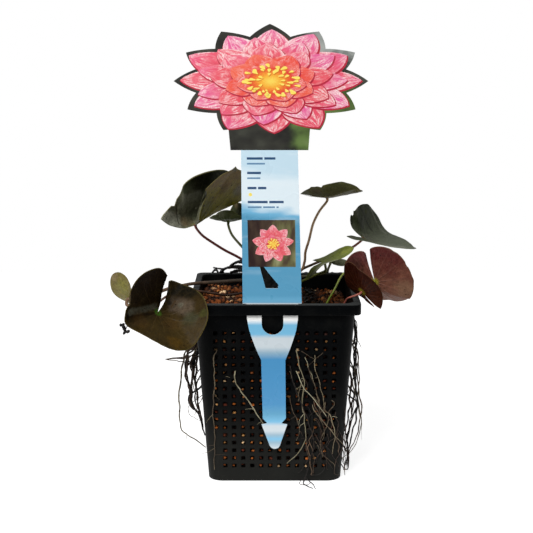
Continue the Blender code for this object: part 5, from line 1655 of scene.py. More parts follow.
def leaf_skin(name, side, relief, gloss):
    """A waxy leaf surface: drifting colours and patches, some of them painted sheen, veins from the stalk,
    specks, and a pale rim that is partly a painted highlight.
    """
    leaf = LEAVES[name]
    colours = LEAF_COLOURS[name]
    low, high = colours[side]
    skin = Skin(f"{name}_{side}")
    u, v, _ = skin.split(skin.uv("flat"))
    x = (u - 0.5) * UV_SPAN
    y = (v - 0.5) * UV_SPAN
    here = skin.joined(x, y, leaf["tip"])
    share, _, _ = skin.split(skin.uv("reach"))
    _, _, z = skin.split(skin.place)
    heights = [blade_point(leaf, math.radians(a), 1).z for a in range(-150, 151, 30)]
    cloud = skin.noise(0.012, 3, 0.55, at=here)
    rise = (z - min(heights)) / (max(heights) - min(heights)) + (cloud - 0.5) * 0.9
    # The tone goes from low to high up the blade; on back_left the low tone is painted sheen
    colour = skin.mix(rise.smooth(0.1, 0.9), low, high)
    colour = leaf_marks(skin, name, x, y, here, colour)
    mottle = skin.noise(0.0026, 4, 0.65, at=here)
    fine = skin.noise(0.0009, 3, 0.7, at=here)
    colour = skin.scaled(colour, (mottle - 0.5) * 1.3 + (fine - 0.5) * 1.0 + 1.0)
    radius = (x * x + y * y).math("SQRT")
    angle = y.math("ARCTAN2", x)
    wander = (skin.noise(0.01, 2, at=here) - 0.5) * 0.22

    def vein_gap(bearing, count):
        """How far each point is from the nearest of this many veins."""
        turn = bearing * (count / (2 * math.pi))
        return (turn - turn.math("ROUND")).math("ABSOLUTE") * radius * (2 * math.pi / count)

    main = vein_gap(angle + wander, BLADE_VEINS).smooth(0.00065, 0.0001) * share.smooth(0.95, 0.25)
    branch = vein_gap(angle - wander, 2 * BLADE_VEINS).smooth(0.0005, 0.0001)
    branch = branch * share.smooth(0.35, 0.6) * share.smooth(1.0, 0.8)
    net = skin.cells(0.0034, "DISTANCE_TO_EDGE", at=here).smooth(0.14, 0.0)
    vein = colours["veins"][0 if side == "upper" else 1]
    colour = skin.mix(main * 0.22 + branch * 0.12 + net * 0.07, colour, vein)
    dots = skin.cells(0.003, at=here).smooth(0.26, 0.1)
    dots = dots * skin.noise(0.011, 2, at=here).smooth(0.47, 0.6)
    colour = skin.mix(dots * 0.8, colour, colours["specks"])
    colour = skin.mix(radius.smooth(0.0045, 0.001) * 0.8, colour, colours["heart"])
    # A pale rim along the margin: partly the blade's own margin and partly a painted highlight on the edge
    rim = share.smooth(0.972, 0.994) * skin.noise(0.006, 2, at=here).smooth(0.28, 0.5)
    colour = skin.mix(rim * 0.7, colour, colours["rim"])
    skin.bump(main * relief + branch * relief * 0.5 + net * 0.25 * relief + mottle * 0.35, 0.00016)
    roughness = gloss + (mottle - 0.5) * 0.22 + dots * 0.1
    return skin.finish(colour, roughness, specular=colours["shine"])


def make_leaf(name):
    bite_margin(name)
    skins = [leaf_skin(name, "upper", -0.6, 0.4), leaf_skin(name, "under", 1.0, 0.46)]
    node = name + "_leaf"
    place_piece(name + "_blade", blade_mesh(name, LEAVES[name]), skins, slot_of(node), [node])


def curve_points(points, spacing):
    """Points at an even spacing along a smooth curve through the given ones."""
    points = [Vector(point) for point in points]
    padded = [2 * points[0] - points[1], *points, 2 * points[-1] - points[-2]]
    dense = []
    for p0, p1, p2, p3 in zip(padded, padded[1:], padded[2:], padded[3:]):
        bend = 2 * p0 - 5 * p1 + 4 * p2 - p3
        twist = 3 * p1 - p0 - 3 * p2 + p3
        for step in range(24):
            t = step / 24
            dense.append(0.5 * (2 * p1 + (p2 - p0) * t + bend * t**2 + twist * t**3))
    dense.append(points[-1])
    lengths = [0.0]
    for before, after in zip(dense, dense[1:]):
        lengths.append(lengths[-1] + (after - before).length)
    count = max(2, round(lengths[-1] / spacing))
    path = []
    index = 0
    for step in range(count + 1):
        wanted = lengths[-1] * step / count
        while index < len(dense) - 2 and lengths[index + 1] < wanted:
            index += 1
        span = max(1e-9, lengths[index + 1] - lengths[index])
        path.append(dense[index].lerp(dense[index + 1], (wanted - lengths[index]) / span))
    return path


def rough_tube(points, radius, uneven, rng):
    """A tube along a smooth curve, thicker and thinner from point to point."""
    path = curve_points(points, LITTER_SPACING)
    return path, [radius * rng.uniform(*uneven) for _ in path]


def tubes_mesh(name, tubes, sides):
    """One mesh of round tubes with rounded ends; a tube is (points along it, their radii)."""
    points = []
    faces = []
    along = []
    for path, radii in tubes:
        normal = (path[1] - path[0]).orthogonal().normalized()
        start = len(points)
        last = len(path) - 1
        for i, (at, radius) in enumerate(zip(path, radii)):
            way = (path[min(i + 1, last)] - path[max(i - 1, 0)]).normalized()
            normal = (normal - way * normal.dot(way)).normalized()
            other = way.cross(normal)
            for side in range(sides):
                angle = 2 * math.pi * side / sides
                points.append(at + (normal * math.cos(angle) + other * math.sin(angle)) * radius)
                along.append((i / last, side / sides))
        rows = [[start + i * sides + side for side in range(sides)] for i in range(last + 1)]
        for lower, upper in zip(rows, rows[1:]):
            for side in range(sides):
                after = (side + 1) % sides
                faces.append((lower[side], lower[after], upper[after], upper[side]))
        for i, inner in ((0, 1), (last, last - 1)):
            tip = len(points)
            points.append(path[i] + (path[i] - path[inner]).normalized() * radii[i] * 0.6)
            along.append((i / last, 0.5))
            for side in range(sides):
                a = rows[i][side]
                b = rows[i][(side + 1) % sides]
                faces.append((b, a, tip) if i == 0 else (a, b, tip))
    mesh = make_mesh(name, points, faces)
    add_uv(mesh, "along", along)
    return mesh


def on_crown(way):
    """The point of the crown's rind that lies this way from its middle."""
    return CROWN_AT + Vector([radius * part for radius, part in zip(CROWN_RADII, way)])


def stalk_start(stalk):
    """The first two points of a stalk: just inside what it grows from, and just outside."""
    if "soil" in stalk:
        skin = Vector(stalk["soil"])
        way = (Vector(stalk["through"][0]) - skin).normalized()
    else:
        around, up = (math.radians(angle) for angle in stalk["crown"])
        way = Vector((math.cos(up) * math.cos(around), math.cos(up) * math.sin(around), math.sin(up)))
        skin = on_crown(way)
    return [skin - way * STALK_DEPTH, skin + way * STALK_DEPTH / 2]


def stalk_skin(name, low, high):
    """A smooth stalk whose colour drifts along it, with fine streaks and flecks."""
    skin = Skin(name)
    along, _, _ = skin.split(skin.uv("along"))
    cloud = skin.noise(0.006, 3)
    colour = skin.mix((along + (cloud - 0.5) * 0.8).smooth(0.1, 0.9), low, high)
    flecks = skin.cells(0.0011).smooth(0.35, 0.15) * skin.noise(0.005, 2).smooth(0.45, 0.6)
    colour = skin.mix(flecks * 0.4, colour, darker(low, 0.35))
    skin.bump(skin.noise(0.0006, 3) + cloud * 0.5, 0.00008)
    return skin.finish(colour, 0.36 + cloud * 0.16, specular=0.28)


def make_stalk(name):
    stalk = STALKS[name]
    middle, down = stalk_seat(LEAVES[name])
    points = stalk_start(stalk) + list(stalk["through"])
    points += [middle + down * (STALK_STRAIGHT + BLADE_HALF), middle + down * BLADE_HALF * 0.5]
    path = curve_points(points, STALK_SPACING)
    radii = []
    for i in range(len(path)):
        share = i / (len(path) - 1)
        to_blade = (len(path) - 1 - i) * STALK_SPACING
        flare = STALK_FLARE_SWELL * max(0.0, 1 - to_blade / STALK_FLARE) ** 2
        foot = STALK_FOOT_SWELL * max(0.0, 1 - share / STALK_FOOT)
        swell = STALK_BODY + foot + flare - STALK_TAPER * share
        radii.append(STALK_RADIUS * stalk.get("thick", 1.0) * swell)
    mesh = tubes_mesh(name, [(path, radii)], STALK_SIDES)
    skin = stalk_skin(name + "_petiole", *stalk["colours"])
    node = name + "_stalk"
    place_piece(name + "_petiole", mesh, [skin], slot_of(node), [node])


def pixel_way(x, y):
    """The way from the camera through a pixel of the photograph."""
    across = (x - PHOTO_SIDE / 2) / FOCAL_PIXELS
    up = (PHOTO_SIDE / 2 - y) / FOCAL_PIXELS
    return Vector((across, TILT_SINE + up * TILT_COSINE, up * TILT_SINE - TILT_COSINE))


def to_pixel(point):
    """The pixel of the photograph that a point lies behind, and how far off the point is."""
    off = Vector(point) - Vector(CAMERA_AT)
    far = off.y * TILT_SINE - off.z * TILT_COSINE
    x = PHOTO_SIDE / 2 + off.x / far * FOCAL_PIXELS
    y = PHOTO_SIDE / 2 - (off.y * TILT_COSINE + off.z * TILT_SINE) / far * FOCAL_PIXELS
    return x, y, far


def pixel_at_depth(x, y, depth):
    """The point behind a pixel that lies in the upright plane at this depth."""
    way = pixel_way(x, y)
    return Vector(CAMERA_AT) + way * ((depth - CAMERA_AT[1]) / way.y)


def pixel_on_front(x, y, out):
    """The point behind a pixel that lies this far out from the front wall."""
    point = pixel_at_depth(x, y, -WALL_TOP_HALF)
    for _ in range(4):
        point = pixel_at_depth(x, y, on_wall("front", point.x, point.z, out).y)
    return point


def pixel_on_floor(x, y, height):
    """The point behind a pixel that lies at this height."""
    way = pixel_way(x, y)
    return Vector(CAMERA_AT) + way * ((height - CAMERA_AT[2]) / way.z)


def on_wall(side, u, z, out):
    """A point this far out from the outside of a wall, which curves away at its corners."""
    half = wall_half(z)
    flat = half - WALL_CORNER
    past = min(max(0.0, abs(u) - flat), 0.95 * WALL_CORNER)
    reach = flat + math.sqrt(WALL_CORNER**2 - past**2) + out
    if side == "front":
        return Vector((u, -reach, z))
    if side == "right":
        return Vector((reach, u, z))
    return Vector((-reach, u, z))


def root_tube(points, radius, rng):
    """A root through these points: it wanders a little, and its thickness comes and goes."""
    path = curve_points(points, ROOT_SPACING)
    shift = random_shift(rng, 50)
    radii = []
    last = len(path) - 1
    for i, point in enumerate(path):
        loose = min(1.0, 6 * i / last, 3 * (last - i) / last + 0.3)
        place = point * ROOT_BENDS + shift
        inward = ROOT_WANDER_IN * noise.noise(place + shift)
        wander = Vector((noise.noise(place), inward, noise.noise(place - shift)))
        path[i] = point + wander * ROOT_WANDER * loose
        path[i].z = max(path[i].z, ROOT_LIFT * radius)
        taper = 1.0 - ROOT_TAPER * (i / last) ** 2
        radii.append(radius * taper * (1 + ROOT_UNEVEN * noise.noise(point * ROOT_KNOTS + shift)))
    return path, radii


def main_root(root, rng):
    column, row, corner_u, corner_z = root["opening"]
    u = column * ROOT_PITCH_U + corner_u * ROOT_CORNER_U
    z = ROOT_TOP_Z - row * ROOT_PITCH_Z + corner_z * ROOT_CORNER_Z
    points = [(u, z, -WALL_THICK), (u, z, ROOT_MOUTH), *root["points"]]
    return root_tube([on_wall(root["side"], *point) for point in points], root["radius"], rng)


def make_roots():
    """One piece for the roots of each tint, with hair-thin rootlets off the main ones."""
    rng = random.Random(ROOT_SEED)
    tubes = {tint: [] for tint in ROOT_TINTS}
    for root in ROOTS.values():
        path, radii = main_root(root, rng)
        tubes[root["tint"]].append((path, radii))
        tubes[root["tint"]] += rootlets(path, root["side"], rng)
    for tint, radius, pixels in WALL_ROOTS:
        points = [pixel_on_front(x, y, WALL_ROOT_GAP + radius) for x, y in pixels]
        points[0] = pixel_on_front(*pixels[0], -WALL_THICK)
        tubes[tint].append(root_tube(points, radius, rng))
    for tint, radius, pixels in FLOOR_ROOTS:
        points = [pixel_on_floor(x, y, ROOT_LIFT * radius) for x, y in pixels]
        tubes[tint].append(root_tube(points, radius, rng))
    for tint, radius, depth, pixels in SIDE_ROOTS:
        points = [pixel_at_depth(x, y, depth) for x, y in pixels]
        side = "left" if points[0].x < 0 else "right"
        start = min(points[0].z + ROOT_RISE, POT_HEIGHT - 1.3 * RIM_SKIRT)
        points.insert(0, on_wall(side, depth, start, -WALL_THICK / 2))
        tubes[tint].append(root_tube(points, radius, rng))
    for tint, path, radii in tangle():
        tubes[tint].append((path, radii))
    for tint, look in ROOT_TINTS.items():
        name = tint + "_roots"
        nodes = [node for node, root in ROOTS.items() if root["tint"] == tint]
        skin = root_skin(name, look["low"], look["high"])
        place_piece(name, tubes_mesh(name, tubes[tint], ROOT_SIDES), [skin], look["slot"], nodes)


def tangle():
    """Thin roots that wander down the front wall across one another, as (tint, path, radii)."""
    rng = random.Random(TANGLE_SEED)
    found = []
    for k in range(TANGLE["count"]):
        x = rng.uniform(TANGLE["left"], TANGLE["right"])
        y = rng.uniform(TANGLE["top"], TANGLE["foot"] - TANGLE["clear"])
        drift = rng.uniform(*TANGLE["drift"])
        radius = rng.uniform(*TANGLE["radius"])
        points = [pixel_on_front(x, y, -WALL_THICK / 2)]
        for _ in range(rng.randrange(*TANGLE["steps"])):
            x = x + TANGLE["across"] * drift + rng.uniform(*TANGLE["stray"])
            x = min(TANGLE["right"], max(TANGLE["left"], x))
            y = min(TANGLE["foot"], y + rng.uniform(*TANGLE["down"]))
            drift += rng.uniform(*TANGLE["turn"])
            points.append(pixel_on_front(x, y, radius + rng.uniform(*TANGLE["out"])))
        found.append((TANGLE["tints"][k % len(TANGLE["tints"])], *root_tube(points, radius, rng)))
    return found


def rootlets(path, side, rng):
    """A few hair-thin side roots that lie close by the root they grow from."""
    out = {"front": Vector((0, -1, 0)), "right": Vector((1, 0, 0)), "left": Vector((-1, 0, 0))}[side]
    along = Vector((1, 0, 0)) if side == "front" else Vector((0, 1, 0))
    found = []
    for _ in range(max(1, len(path) // HAIR_EVERY)):
        start = path[rng.randrange(len(path) // 5, len(path) - 2)]
        way = along * rng.uniform(-1, 1) + Vector((0, 0, rng.uniform(*HAIR_DOWN)))
        length = rng.uniform(*HAIR_LENGTH)
        bend = along * rng.uniform(*HAIR_BEND)
        points = [start + (way + bend * t) * t * length + out * HAIR_OUT for t in (0.0, 0.35, 0.7, 1.0)]
        found.append(root_tube(points, rng.uniform(*HAIR_RADIUS), rng))
    return found


def root_skin(name, low, high):
    """A dry root: blotched along its length, with fine wrinkles."""
    skin = Skin(name)
    blotch = skin.noise(0.009, 4, 0.6)
    own = skin.per_island()
    colour = skin.mix((blotch + (own - 0.5) * 0.5).smooth(0.3, 0.72), low, high)
    spots = skin.noise(0.0016, 3, 0.7).smooth(0.56, 0.72)
    colour = skin.mix(spots * 0.5, colour, darker(low, 0.25))
    skin.bump(skin.noise(0.0007, 3, 0.7), 0.00012)
    return skin.finish(colour, 0.66 + blotch * 0.12, specular=0.35)


def make_dead_stalks():
    rng = random.Random(DEAD_SEED)
    skin = stalk_skin("dead_stalk", *REMAINS["dead_stalk"])
    for name, stalk in DEAD_STALKS.items():
        path = curve_points(stalk_start(stalk) + list(stalk["through"]), STALK_SPACING)
        radii = []
        for i in range(len(path)):
            share = i / (len(path) - 1)
            radii.append(STALK_RADIUS * (DEAD_BODY - DEAD_TAPER * share) * rng.uniform(*DEAD_UNEVEN))
        mesh = tubes_mesh(name, [(path, radii)], STALK_SIDES)
        place_piece(name + "_skin", mesh, [skin], "stalk_dead", [name])


def litter_points(pixels):
    """The points of a loop or crumb, whose ends stand on the rim where they reach it."""
    points = [pixel_at_depth(x, y, depth[0] if depth else RIM_BACK) for x, y, *depth in pixels]
    for point in points[:1] + points[-1:]:
        if point.y == RIM_BACK and point.z < POT_HEIGHT + RIM_REACH:
            point.z = POT_HEIGHT
    return points


def make_litter():
    """Black remains of old stalks looped over the crown, crumbs along the rim, and scraps."""
    rng = random.Random(LITTER_SEED)
    tubes = []
    for radius, pixels in LITTER:
        tubes.append(rough_tube(litter_points(pixels), radius, LITTER_UNEVEN, rng))
    for _ in range(SCRAPS["count"]):
        x = rng.uniform(SCRAPS["left"], SCRAPS["right"])
        y = rng.uniform(SCRAPS["top"], SCRAPS["foot"])
        radius = rng.uniform(*SCRAPS["radius"])
        points = []
        for _ in range(SCRAPS["points"]):
            at = pixel_on_floor(x, y, SOIL_LEVEL)
            lift = radius + rng.uniform(*SCRAPS["lift"])
            points.append(Vector((at.x, at.y, soil_height(at.x) + lift)))
            x += rng.uniform(*SCRAPS["across"]) * SCRAPS["reach"]
            y += rng.uniform(*SCRAPS["down"]) * SCRAPS["reach"]
        tubes.append(rough_tube(points, radius, SCRAPS["uneven"], rng))
    skin = stalk_skin("litter", *REMAINS["litter"])
    place_piece("litter", tubes_mesh("litter", tubes, 8), [skin], "stalk_dead")


def make_shred():
    """A black curled shred of the front left blade, which hangs by a thread from its margin."""
    rng = random.Random(LITTER_SEED)
    leaf = LEAVES["front_left"]
    root = blade_point(leaf, margin_angle(leaf, *SHRED[0][1][0], SHRED_STEPS), 1.0)
    tubes = []
    for radius, pixels in SHRED:
        points = [pixel_at_depth(x, y, root.y) for x, y in pixels]
        if not tubes:
            points[0] = root
        tubes.append(rough_tube(points, radius, SHRED_UNEVEN, rng))
    skin = stalk_skin("shred", *REMAINS["shred"])
    place_piece("leaf_shred", tubes_mesh("leaf_shred", tubes, 8), [skin], "leaf_brown")


def make_crown():
    """A dark knobbly crown, rough with the stubs of old leaf stalks."""
    rng = random.Random(CROWN_SEED)
    bm = bmesh.new()
    bmesh.ops.create_icosphere(bm, subdivisions=5, radius=1.0)
    stubs = [random_way(rng) for _ in range(CROWN_STUBS)]
    for vert in bm.verts:
        way = vert.co.normalized()
        swell = CROWN_LUMP_RISE * noise.noise(way * CROWN_LUMPS)
        swell += CROWN_KNOB_RISE * noise.noise(way * CROWN_KNOBS)
        for stub in stubs:
            near = max(0.0, 1 - (way - stub).length / STUB_WIDTH)
            hollow = STUB_HOLLOW * max(0.0, near - STUB_HOLLOW_FROM) / (1 - STUB_HOLLOW_FROM)
            swell += STUB_RISE * near**0.6 - hollow
        vert.co = on_crown(way * (CROWN_BODY + swell))
    mesh = mesh_from(bm, "crown_rind")
    mesh.shade_smooth()
    skin = Skin("crown_rind")
    colour = skin.mix(skin.noise(0.003, 4, 0.6).smooth(0.45, 0.75), *REMAINS["crown_rind"])
    skin.bump(skin.noise(0.0012, 4, 0.7), 0.0004)
    place_piece("crown_rind", mesh, [skin.finish(colour, 0.7, specular=0.12)], "crown_skin", ["crown"])


def label_middle(z):
    """The label stands a little askew, so its middle line drifts to the left."""
    return LABEL_SKEW * (z - LABEL_TIP)


def label_lean(z):
    """How far back the sheet leans above the rim, and how far in below it."""
    if z > POT_HEIGHT:
        return LABEL_LEAN_BACK * (z - POT_HEIGHT) ** 2
    return LABEL_LEAN_IN * (POT_HEIGHT - z)


def on_label(x, z, forward=0.0):
    """A point in front of the label's middle sheet, from its flat drawing."""
    return Vector((x + label_middle(z), LABEL_Y + label_lean(z) - forward, z))


def head_outline():
    """The label's head, an even rosette of pointed petals, from its neck round to its neck."""
    points = []
    for step in range(HEAD_STEPS + 1):
        angle = -math.pi / 2 + 2 * math.pi * step / HEAD_STEPS
        from_tip = abs(2 * ((angle * HEAD_PETALS / (2 * math.pi) + 0.5) % 1.0) - 1)
        reach = 1 - HEAD_NOTCH * from_tip
        x = HEAD_X + HEAD_HALF_WIDTH * reach * math.cos(angle)
        z = HEAD_Z + HEAD_HALF_HEIGHT * reach * math.sin(angle)
        if z > NECK_TOP or abs(x) > NECK_HALF:
            points.append((x, z))
    return points


def arc(x, y, radius, first, last, steps):
    """Points round part of a circle, from one angle in degrees to another."""
    points = []
    for step in range(steps + 1):
        angle = math.radians(first + (last - first) * step / steps)
        points.append((x + radius * math.cos(angle), y + radius * math.sin(angle)))
    return points


def label_outline():
    """The label's outline up its right side, round the head and down its left side."""
    right = arc(0, LABEL_TIP + TIP_RADIUS, TIP_RADIUS, -90, -25, 8)
    right += [
        (BARB_HALF, BARB_Z),
        (BARB_NECK_HALF, BARB_Z + 0.0008),
        (STEM_HALF, STEM_FOOT),
        *((half, z) for z, half in FORK_FLARE),
        (FORK_HALF, POT_HEIGHT + SLOT_ROOM / 2),
        (PANEL_HALF_FOOT, POT_HEIGHT + SLOT_ROOM / 2),
        (PANEL_HALF_TOP, PANEL_TOP),
        (NECK_HALF, PANEL_TOP),
    ]
    left = [(-x, z) for x, z in reversed(right[1:])]
    return right + head_outline() + left


def window_outline():
    """The round-footed window in the label's fork."""
    foot = arc(0, WINDOW_FOOT + WINDOW_HALF, WINDOW_HALF, 180, 360, 24)
    return [(WINDOW_HALF, WINDOW_TOP), (-WINDOW_HALF, WINDOW_TOP), *foot]


def flat_sheet(outlines, thick):
    """A flat sheet with holes, from a filled 2D curve, as a working mesh that lies in X and Y."""
    curve = bpy.data.curves.new("sheet", "CURVE")
    curve.dimensions = "2D"
    curve.fill_mode = "BOTH"
    curve.extrude = thick / 2
    for outline in outlines:
        spline = curve.splines.new("POLY")
        spline.points.add(len(outline) - 1)
        for point, (x, y) in zip(spline.points, outline):
            point.co = (x, y, 0, 1)
        spline.use_cyclic_u = True
    guide = add_object("guide", curve)
    mesh = evaluated_mesh(guide)
    bm = bmesh.new()
    bm.from_mesh(mesh)
    bmesh.ops.remove_doubles(bm, verts=bm.verts, dist=WELD)
    bpy.data.objects.remove(guide)
    bpy.data.meshes.remove(mesh)
    return bm


def printed(skin, colour, roughness=0.26):
    """Finishes a skin as glossy print."""
    return skin.finish(colour, roughness + skin.noise(0.02, 2) * 0.08)


def label_print():
    """Sky colours with soft pale clouds, in bands from the panel's top to the label's tip. The pale band
    across the fork is partly a painted reflection of the label's gloss.
    """
    skin = Skin("label_sky")
    x, _, z = skin.split(skin.place)
    panel = z.smooth(0.175, 0.205)
    drift = (skin.noise(0.03, 3, 0.5, at=skin.stretched(skin.place, (0.5, 1.0, 1.6))) - 0.5) * 0.03
    height = z + drift * panel + x * panel * 0.1
    bands = [(place / LABEL_SPAN, LABEL_TONES[tone]) for place, tone in LABEL_BANDS]
    colour = skin.ramp(height / LABEL_SPAN, bands)
    wisps = skin.noise(0.012, 4, 0.6, at=skin.stretched(skin.place, (0.35, 1.0, 1.8))).smooth(0.5, 0.75)
    colour = skin.mix(wisps * 0.3 * z.smooth(0.15, 0.185), colour, LABEL_WISPS)
    return printed(skin, colour, 0.24)


def label_backdrop():
    """The blurred ground behind the printed bloom: charcoal, with greens low on the right."""
    skin = Skin("label_backdrop")
    x, _, z = skin.split(skin.place)
    blur = skin.noise(0.02, 3, 0.45, at=skin.stretched(skin.place, (1.0, 1.0, 1.4)))
    dark, green, grey = (skin.ramp(blur, tones) for tones in BACKDROP.values())
    drift = (blur - 0.5) * 0.04
    low = (z + drift).smooth(0.306, 0.29)
    high = (z + drift).smooth(0.318, 0.33)
    colour = skin.mix((x + drift).smooth(0.004, 0.018) * low, dark, green)
    colour = skin.mix((x + drift).smooth(0.02, 0.034) * high, colour, grey)
    return printed(skin, colour)


def label_plain():
    """The bare white plastic of the label's edges and back."""
    skin = Skin("label_plain")
    colour = skin.mix(skin.noise(0.02, 3), *LABEL_BARE)
    return skin.finish(colour, 0.34 + skin.noise(0.004, 2) * 0.1)


def label_mesh():
    bm = flat_sheet([label_outline(), window_outline(), WEDGE], LABEL_THICK)
    top = HEAD_Z + HEAD_HALF_HEIGHT
    cuts = [LABEL_TIP + (top - LABEL_TIP) * strip / LABEL_STRIPS for strip in range(1, LABEL_STRIPS)]
    for height in cuts + [PANEL_TOP]:
        everything = bm.verts[:] + bm.edges[:] + bm.faces[:]
        level = dict(plane_co=(0, height, 0), plane_no=(0, 1, 0))
        bmesh.ops.bisect_plane(bm, geom=everything, dist=WELD, **level)
    for face in bm.faces:
        middle = face.calc_center_median()
        if abs(middle.z - LABEL_THICK / 2) < 2 * WELD:
            face.material_index = 1 if middle.y > PANEL_TOP else 0
        else:
            face.material_index = 2
    for vert in bm.verts:
        vert.co = on_label(*vert.co)
    bmesh.ops.recalc_face_normals(bm, faces=bm.faces)
    return mesh_from(bm, "label_sheet")


def print_piece(name, shapes, skin):
    """Places flat printed shapes as a piece. A shape is (rows of points in the drawing, layer)."""
    points = []
    faces = []
    uv = []
    for rows, layer in shapes:
        start = len(points)
        width = len(rows[0])
        forward = LABEL_THICK / 2 + INK_STEP * (1 + layer)
        for i, row in enumerate(rows):
            for j, (x, z) in enumerate(row):
                points.append(on_label(x, z, forward))
                uv.append((i / (len(rows) - 1), j / (width - 1)))
        for i in range(len(rows) - 1):
            for j in range(width - 1):
                a = start + i * width + j
                faces.append((a, a + 1, a + width + 1, a + width))
    mesh = make_mesh(name, points, faces, smooth=False)
    add_uv(mesh, "shape", uv)
    place_piece(name, mesh, [skin], "label_print")


def petal_rows(middle, angle, inner, outer, width, squash):
    """A petal of a printed rosette as rows across it, from its base to its point."""
    rows = []
    for i in range(19):
        t = i / 18
        reach = inner + (outer - inner) * t
        half = width * math.sin(math.pi * t**1.15) ** 0.8 if 0 < t < 1 else 0.0
        row = []
        for j in range(9):
            s = (j / 4 - 1) * half
            x = reach * math.cos(angle) - s * math.sin(angle)
            z = reach * math.sin(angle) + s * math.cos(angle)
            row.append((middle[0] + x, middle[1] + z * squash))
        rows.append(row)
    return rows


def disc_rows(middle, radius, squash, steps=24):
    rows = []
    for share in (0.0, 0.5, 1.0):
        row = []
        for step in range(steps + 1):
            angle = 2 * math.pi * step / steps
            x = middle[0] + radius * share * math.cos(angle)
            row.append((x, middle[1] + radius * share * squash * math.sin(angle)))
        rows.append(row)
    return rows


def petal_print(name, deep, body, tint, frosting):
    """Printed petals: deep where the next tier shades them, frosted in streaks towards their points."""
    skin = Skin(name)
    t, s, _ = skin.split(skin.uv("shape"))
    across = (s - 0.5).math("ABSOLUTE") * 2
    own = skin.per_island()
    colour = skin.mix(t.smooth(0.22, 0.66), deep, body)
    colour = skin.mix((own * 0.7 + t * 0.6).smooth(0.6, 1.05) * 0.8, colour, tint)
    along_petal = skin.joined(t * 1.5 + own * 9, s * 3.2 + own * 5, own * 20)
    streaks = skin.noise(0.3, 4, 0.65, at=along_petal, warp=0.5).smooth(0.42, 0.58)
    patches = skin.noise(0.0075, 2, 0.5).smooth(0.36, 0.56)
    flecks = skin.noise(0.001, 4, 0.75, warp=0.5).smooth(0.42, 0.6)
    frost = streaks * (patches * 0.75 + 0.25) * (flecks * 0.55 + 0.45) * t.smooth(0.32, 0.74) * frosting
    colour = skin.mix(frost, colour, FROST)
    fringe = across.smooth(0.7, 0.98) * t.smooth(0.3, 0.55) * (flecks * 0.7 + 0.3) * patches
    colour = skin.mix(fringe * (own * 0.4 + 0.6) * frosting, colour, FROST)
    crease = across.smooth(0.14, 0.0) * t.smooth(0.95, 0.5)
    colour = skin.mix(crease * 0.25, colour, deep)
    return printed(skin, colour)


def bloom_shapes(middle, reach, squash, tiers, layer, seed):
    """Tiers of petals; a tier is (how many, its turn in steps, inner, outer, width)."""
    rng = random.Random(seed)
    shapes = []
    for count, turned, inner, outer, width in tiers:
        for k in range(count):
            angle = 2 * math.pi * (k + turned + rng.uniform(*PETAL_TURNS)) / count + math.pi / 2
            long = outer * rng.uniform(*PETAL_LENGTHS)
            wide = width * rng.uniform(*PETAL_WIDTHS)
            rows = petal_rows(middle, angle, inner * reach, long * reach, wide * reach, squash)
            shapes.append((rows, layer + (k % 3) * OVERLAP))
        layer += 1
    return shapes, layer


def stamen_rows(at, angle, length, width, squash):
    """One printed stamen: a small club that points away from the heart."""
    rows = []
    for t, share in STAMEN_SHAPE:
        row = []
        for s in (-1.0, -0.5, 0.0, 0.5, 1.0):
            x = (t - 0.5) * length
            z = s * share * width
            row.append((
                at[0] + x * math.cos(angle) - z * math.sin(angle),
                at[1] + (x * math.sin(angle) + z * math.cos(angle)) * squash,
            ))
        rows.append(row)
    return rows


def stamen_shapes(middle, reach, squash, rings, layer, seed):
    """Rings of stamens; a ring is (how many, how far out, how long each is)."""
    rng = random.Random(seed)
    shapes = []
    for count, radius, size in rings:
        for k in range(count):
            angle = 2 * math.pi * (k + rng.uniform(*STAMEN_TURNS)) / count
            out = reach * (radius + rng.uniform(*STAMEN_DRIFT))
            at = (middle[0] + out * math.cos(angle), middle[1] + out * squash * math.sin(angle))
            length = reach * size * rng.uniform(*STAMEN_LENGTHS)
            turn = angle + rng.uniform(*STAMEN_TILTS)
            rows = stamen_rows(at, turn, length, length * STAMEN_WIDTH, squash)
            shapes.append((rows, layer + (k % 3) * OVERLAP))
    return shapes


def heart_print(name):
    """The printed heart: bright yellow in the middle, orange-red where it meets the petals."""
    skin = Skin(name)
    out, _, _ = skin.split(skin.uv("shape"))
    grain = skin.noise(0.0009, 4, 0.7)
    return skin.finish(skin.ramp(out + (grain - 0.5) * 0.7, HEART_INKS), 0.28 + grain * 0.06)


def flat_ink(name):
    skin = Skin(name)
    first, second, size = FLAT_INKS[name]
    return printed(skin, skin.mix(skin.noise(size, 3), first, second))


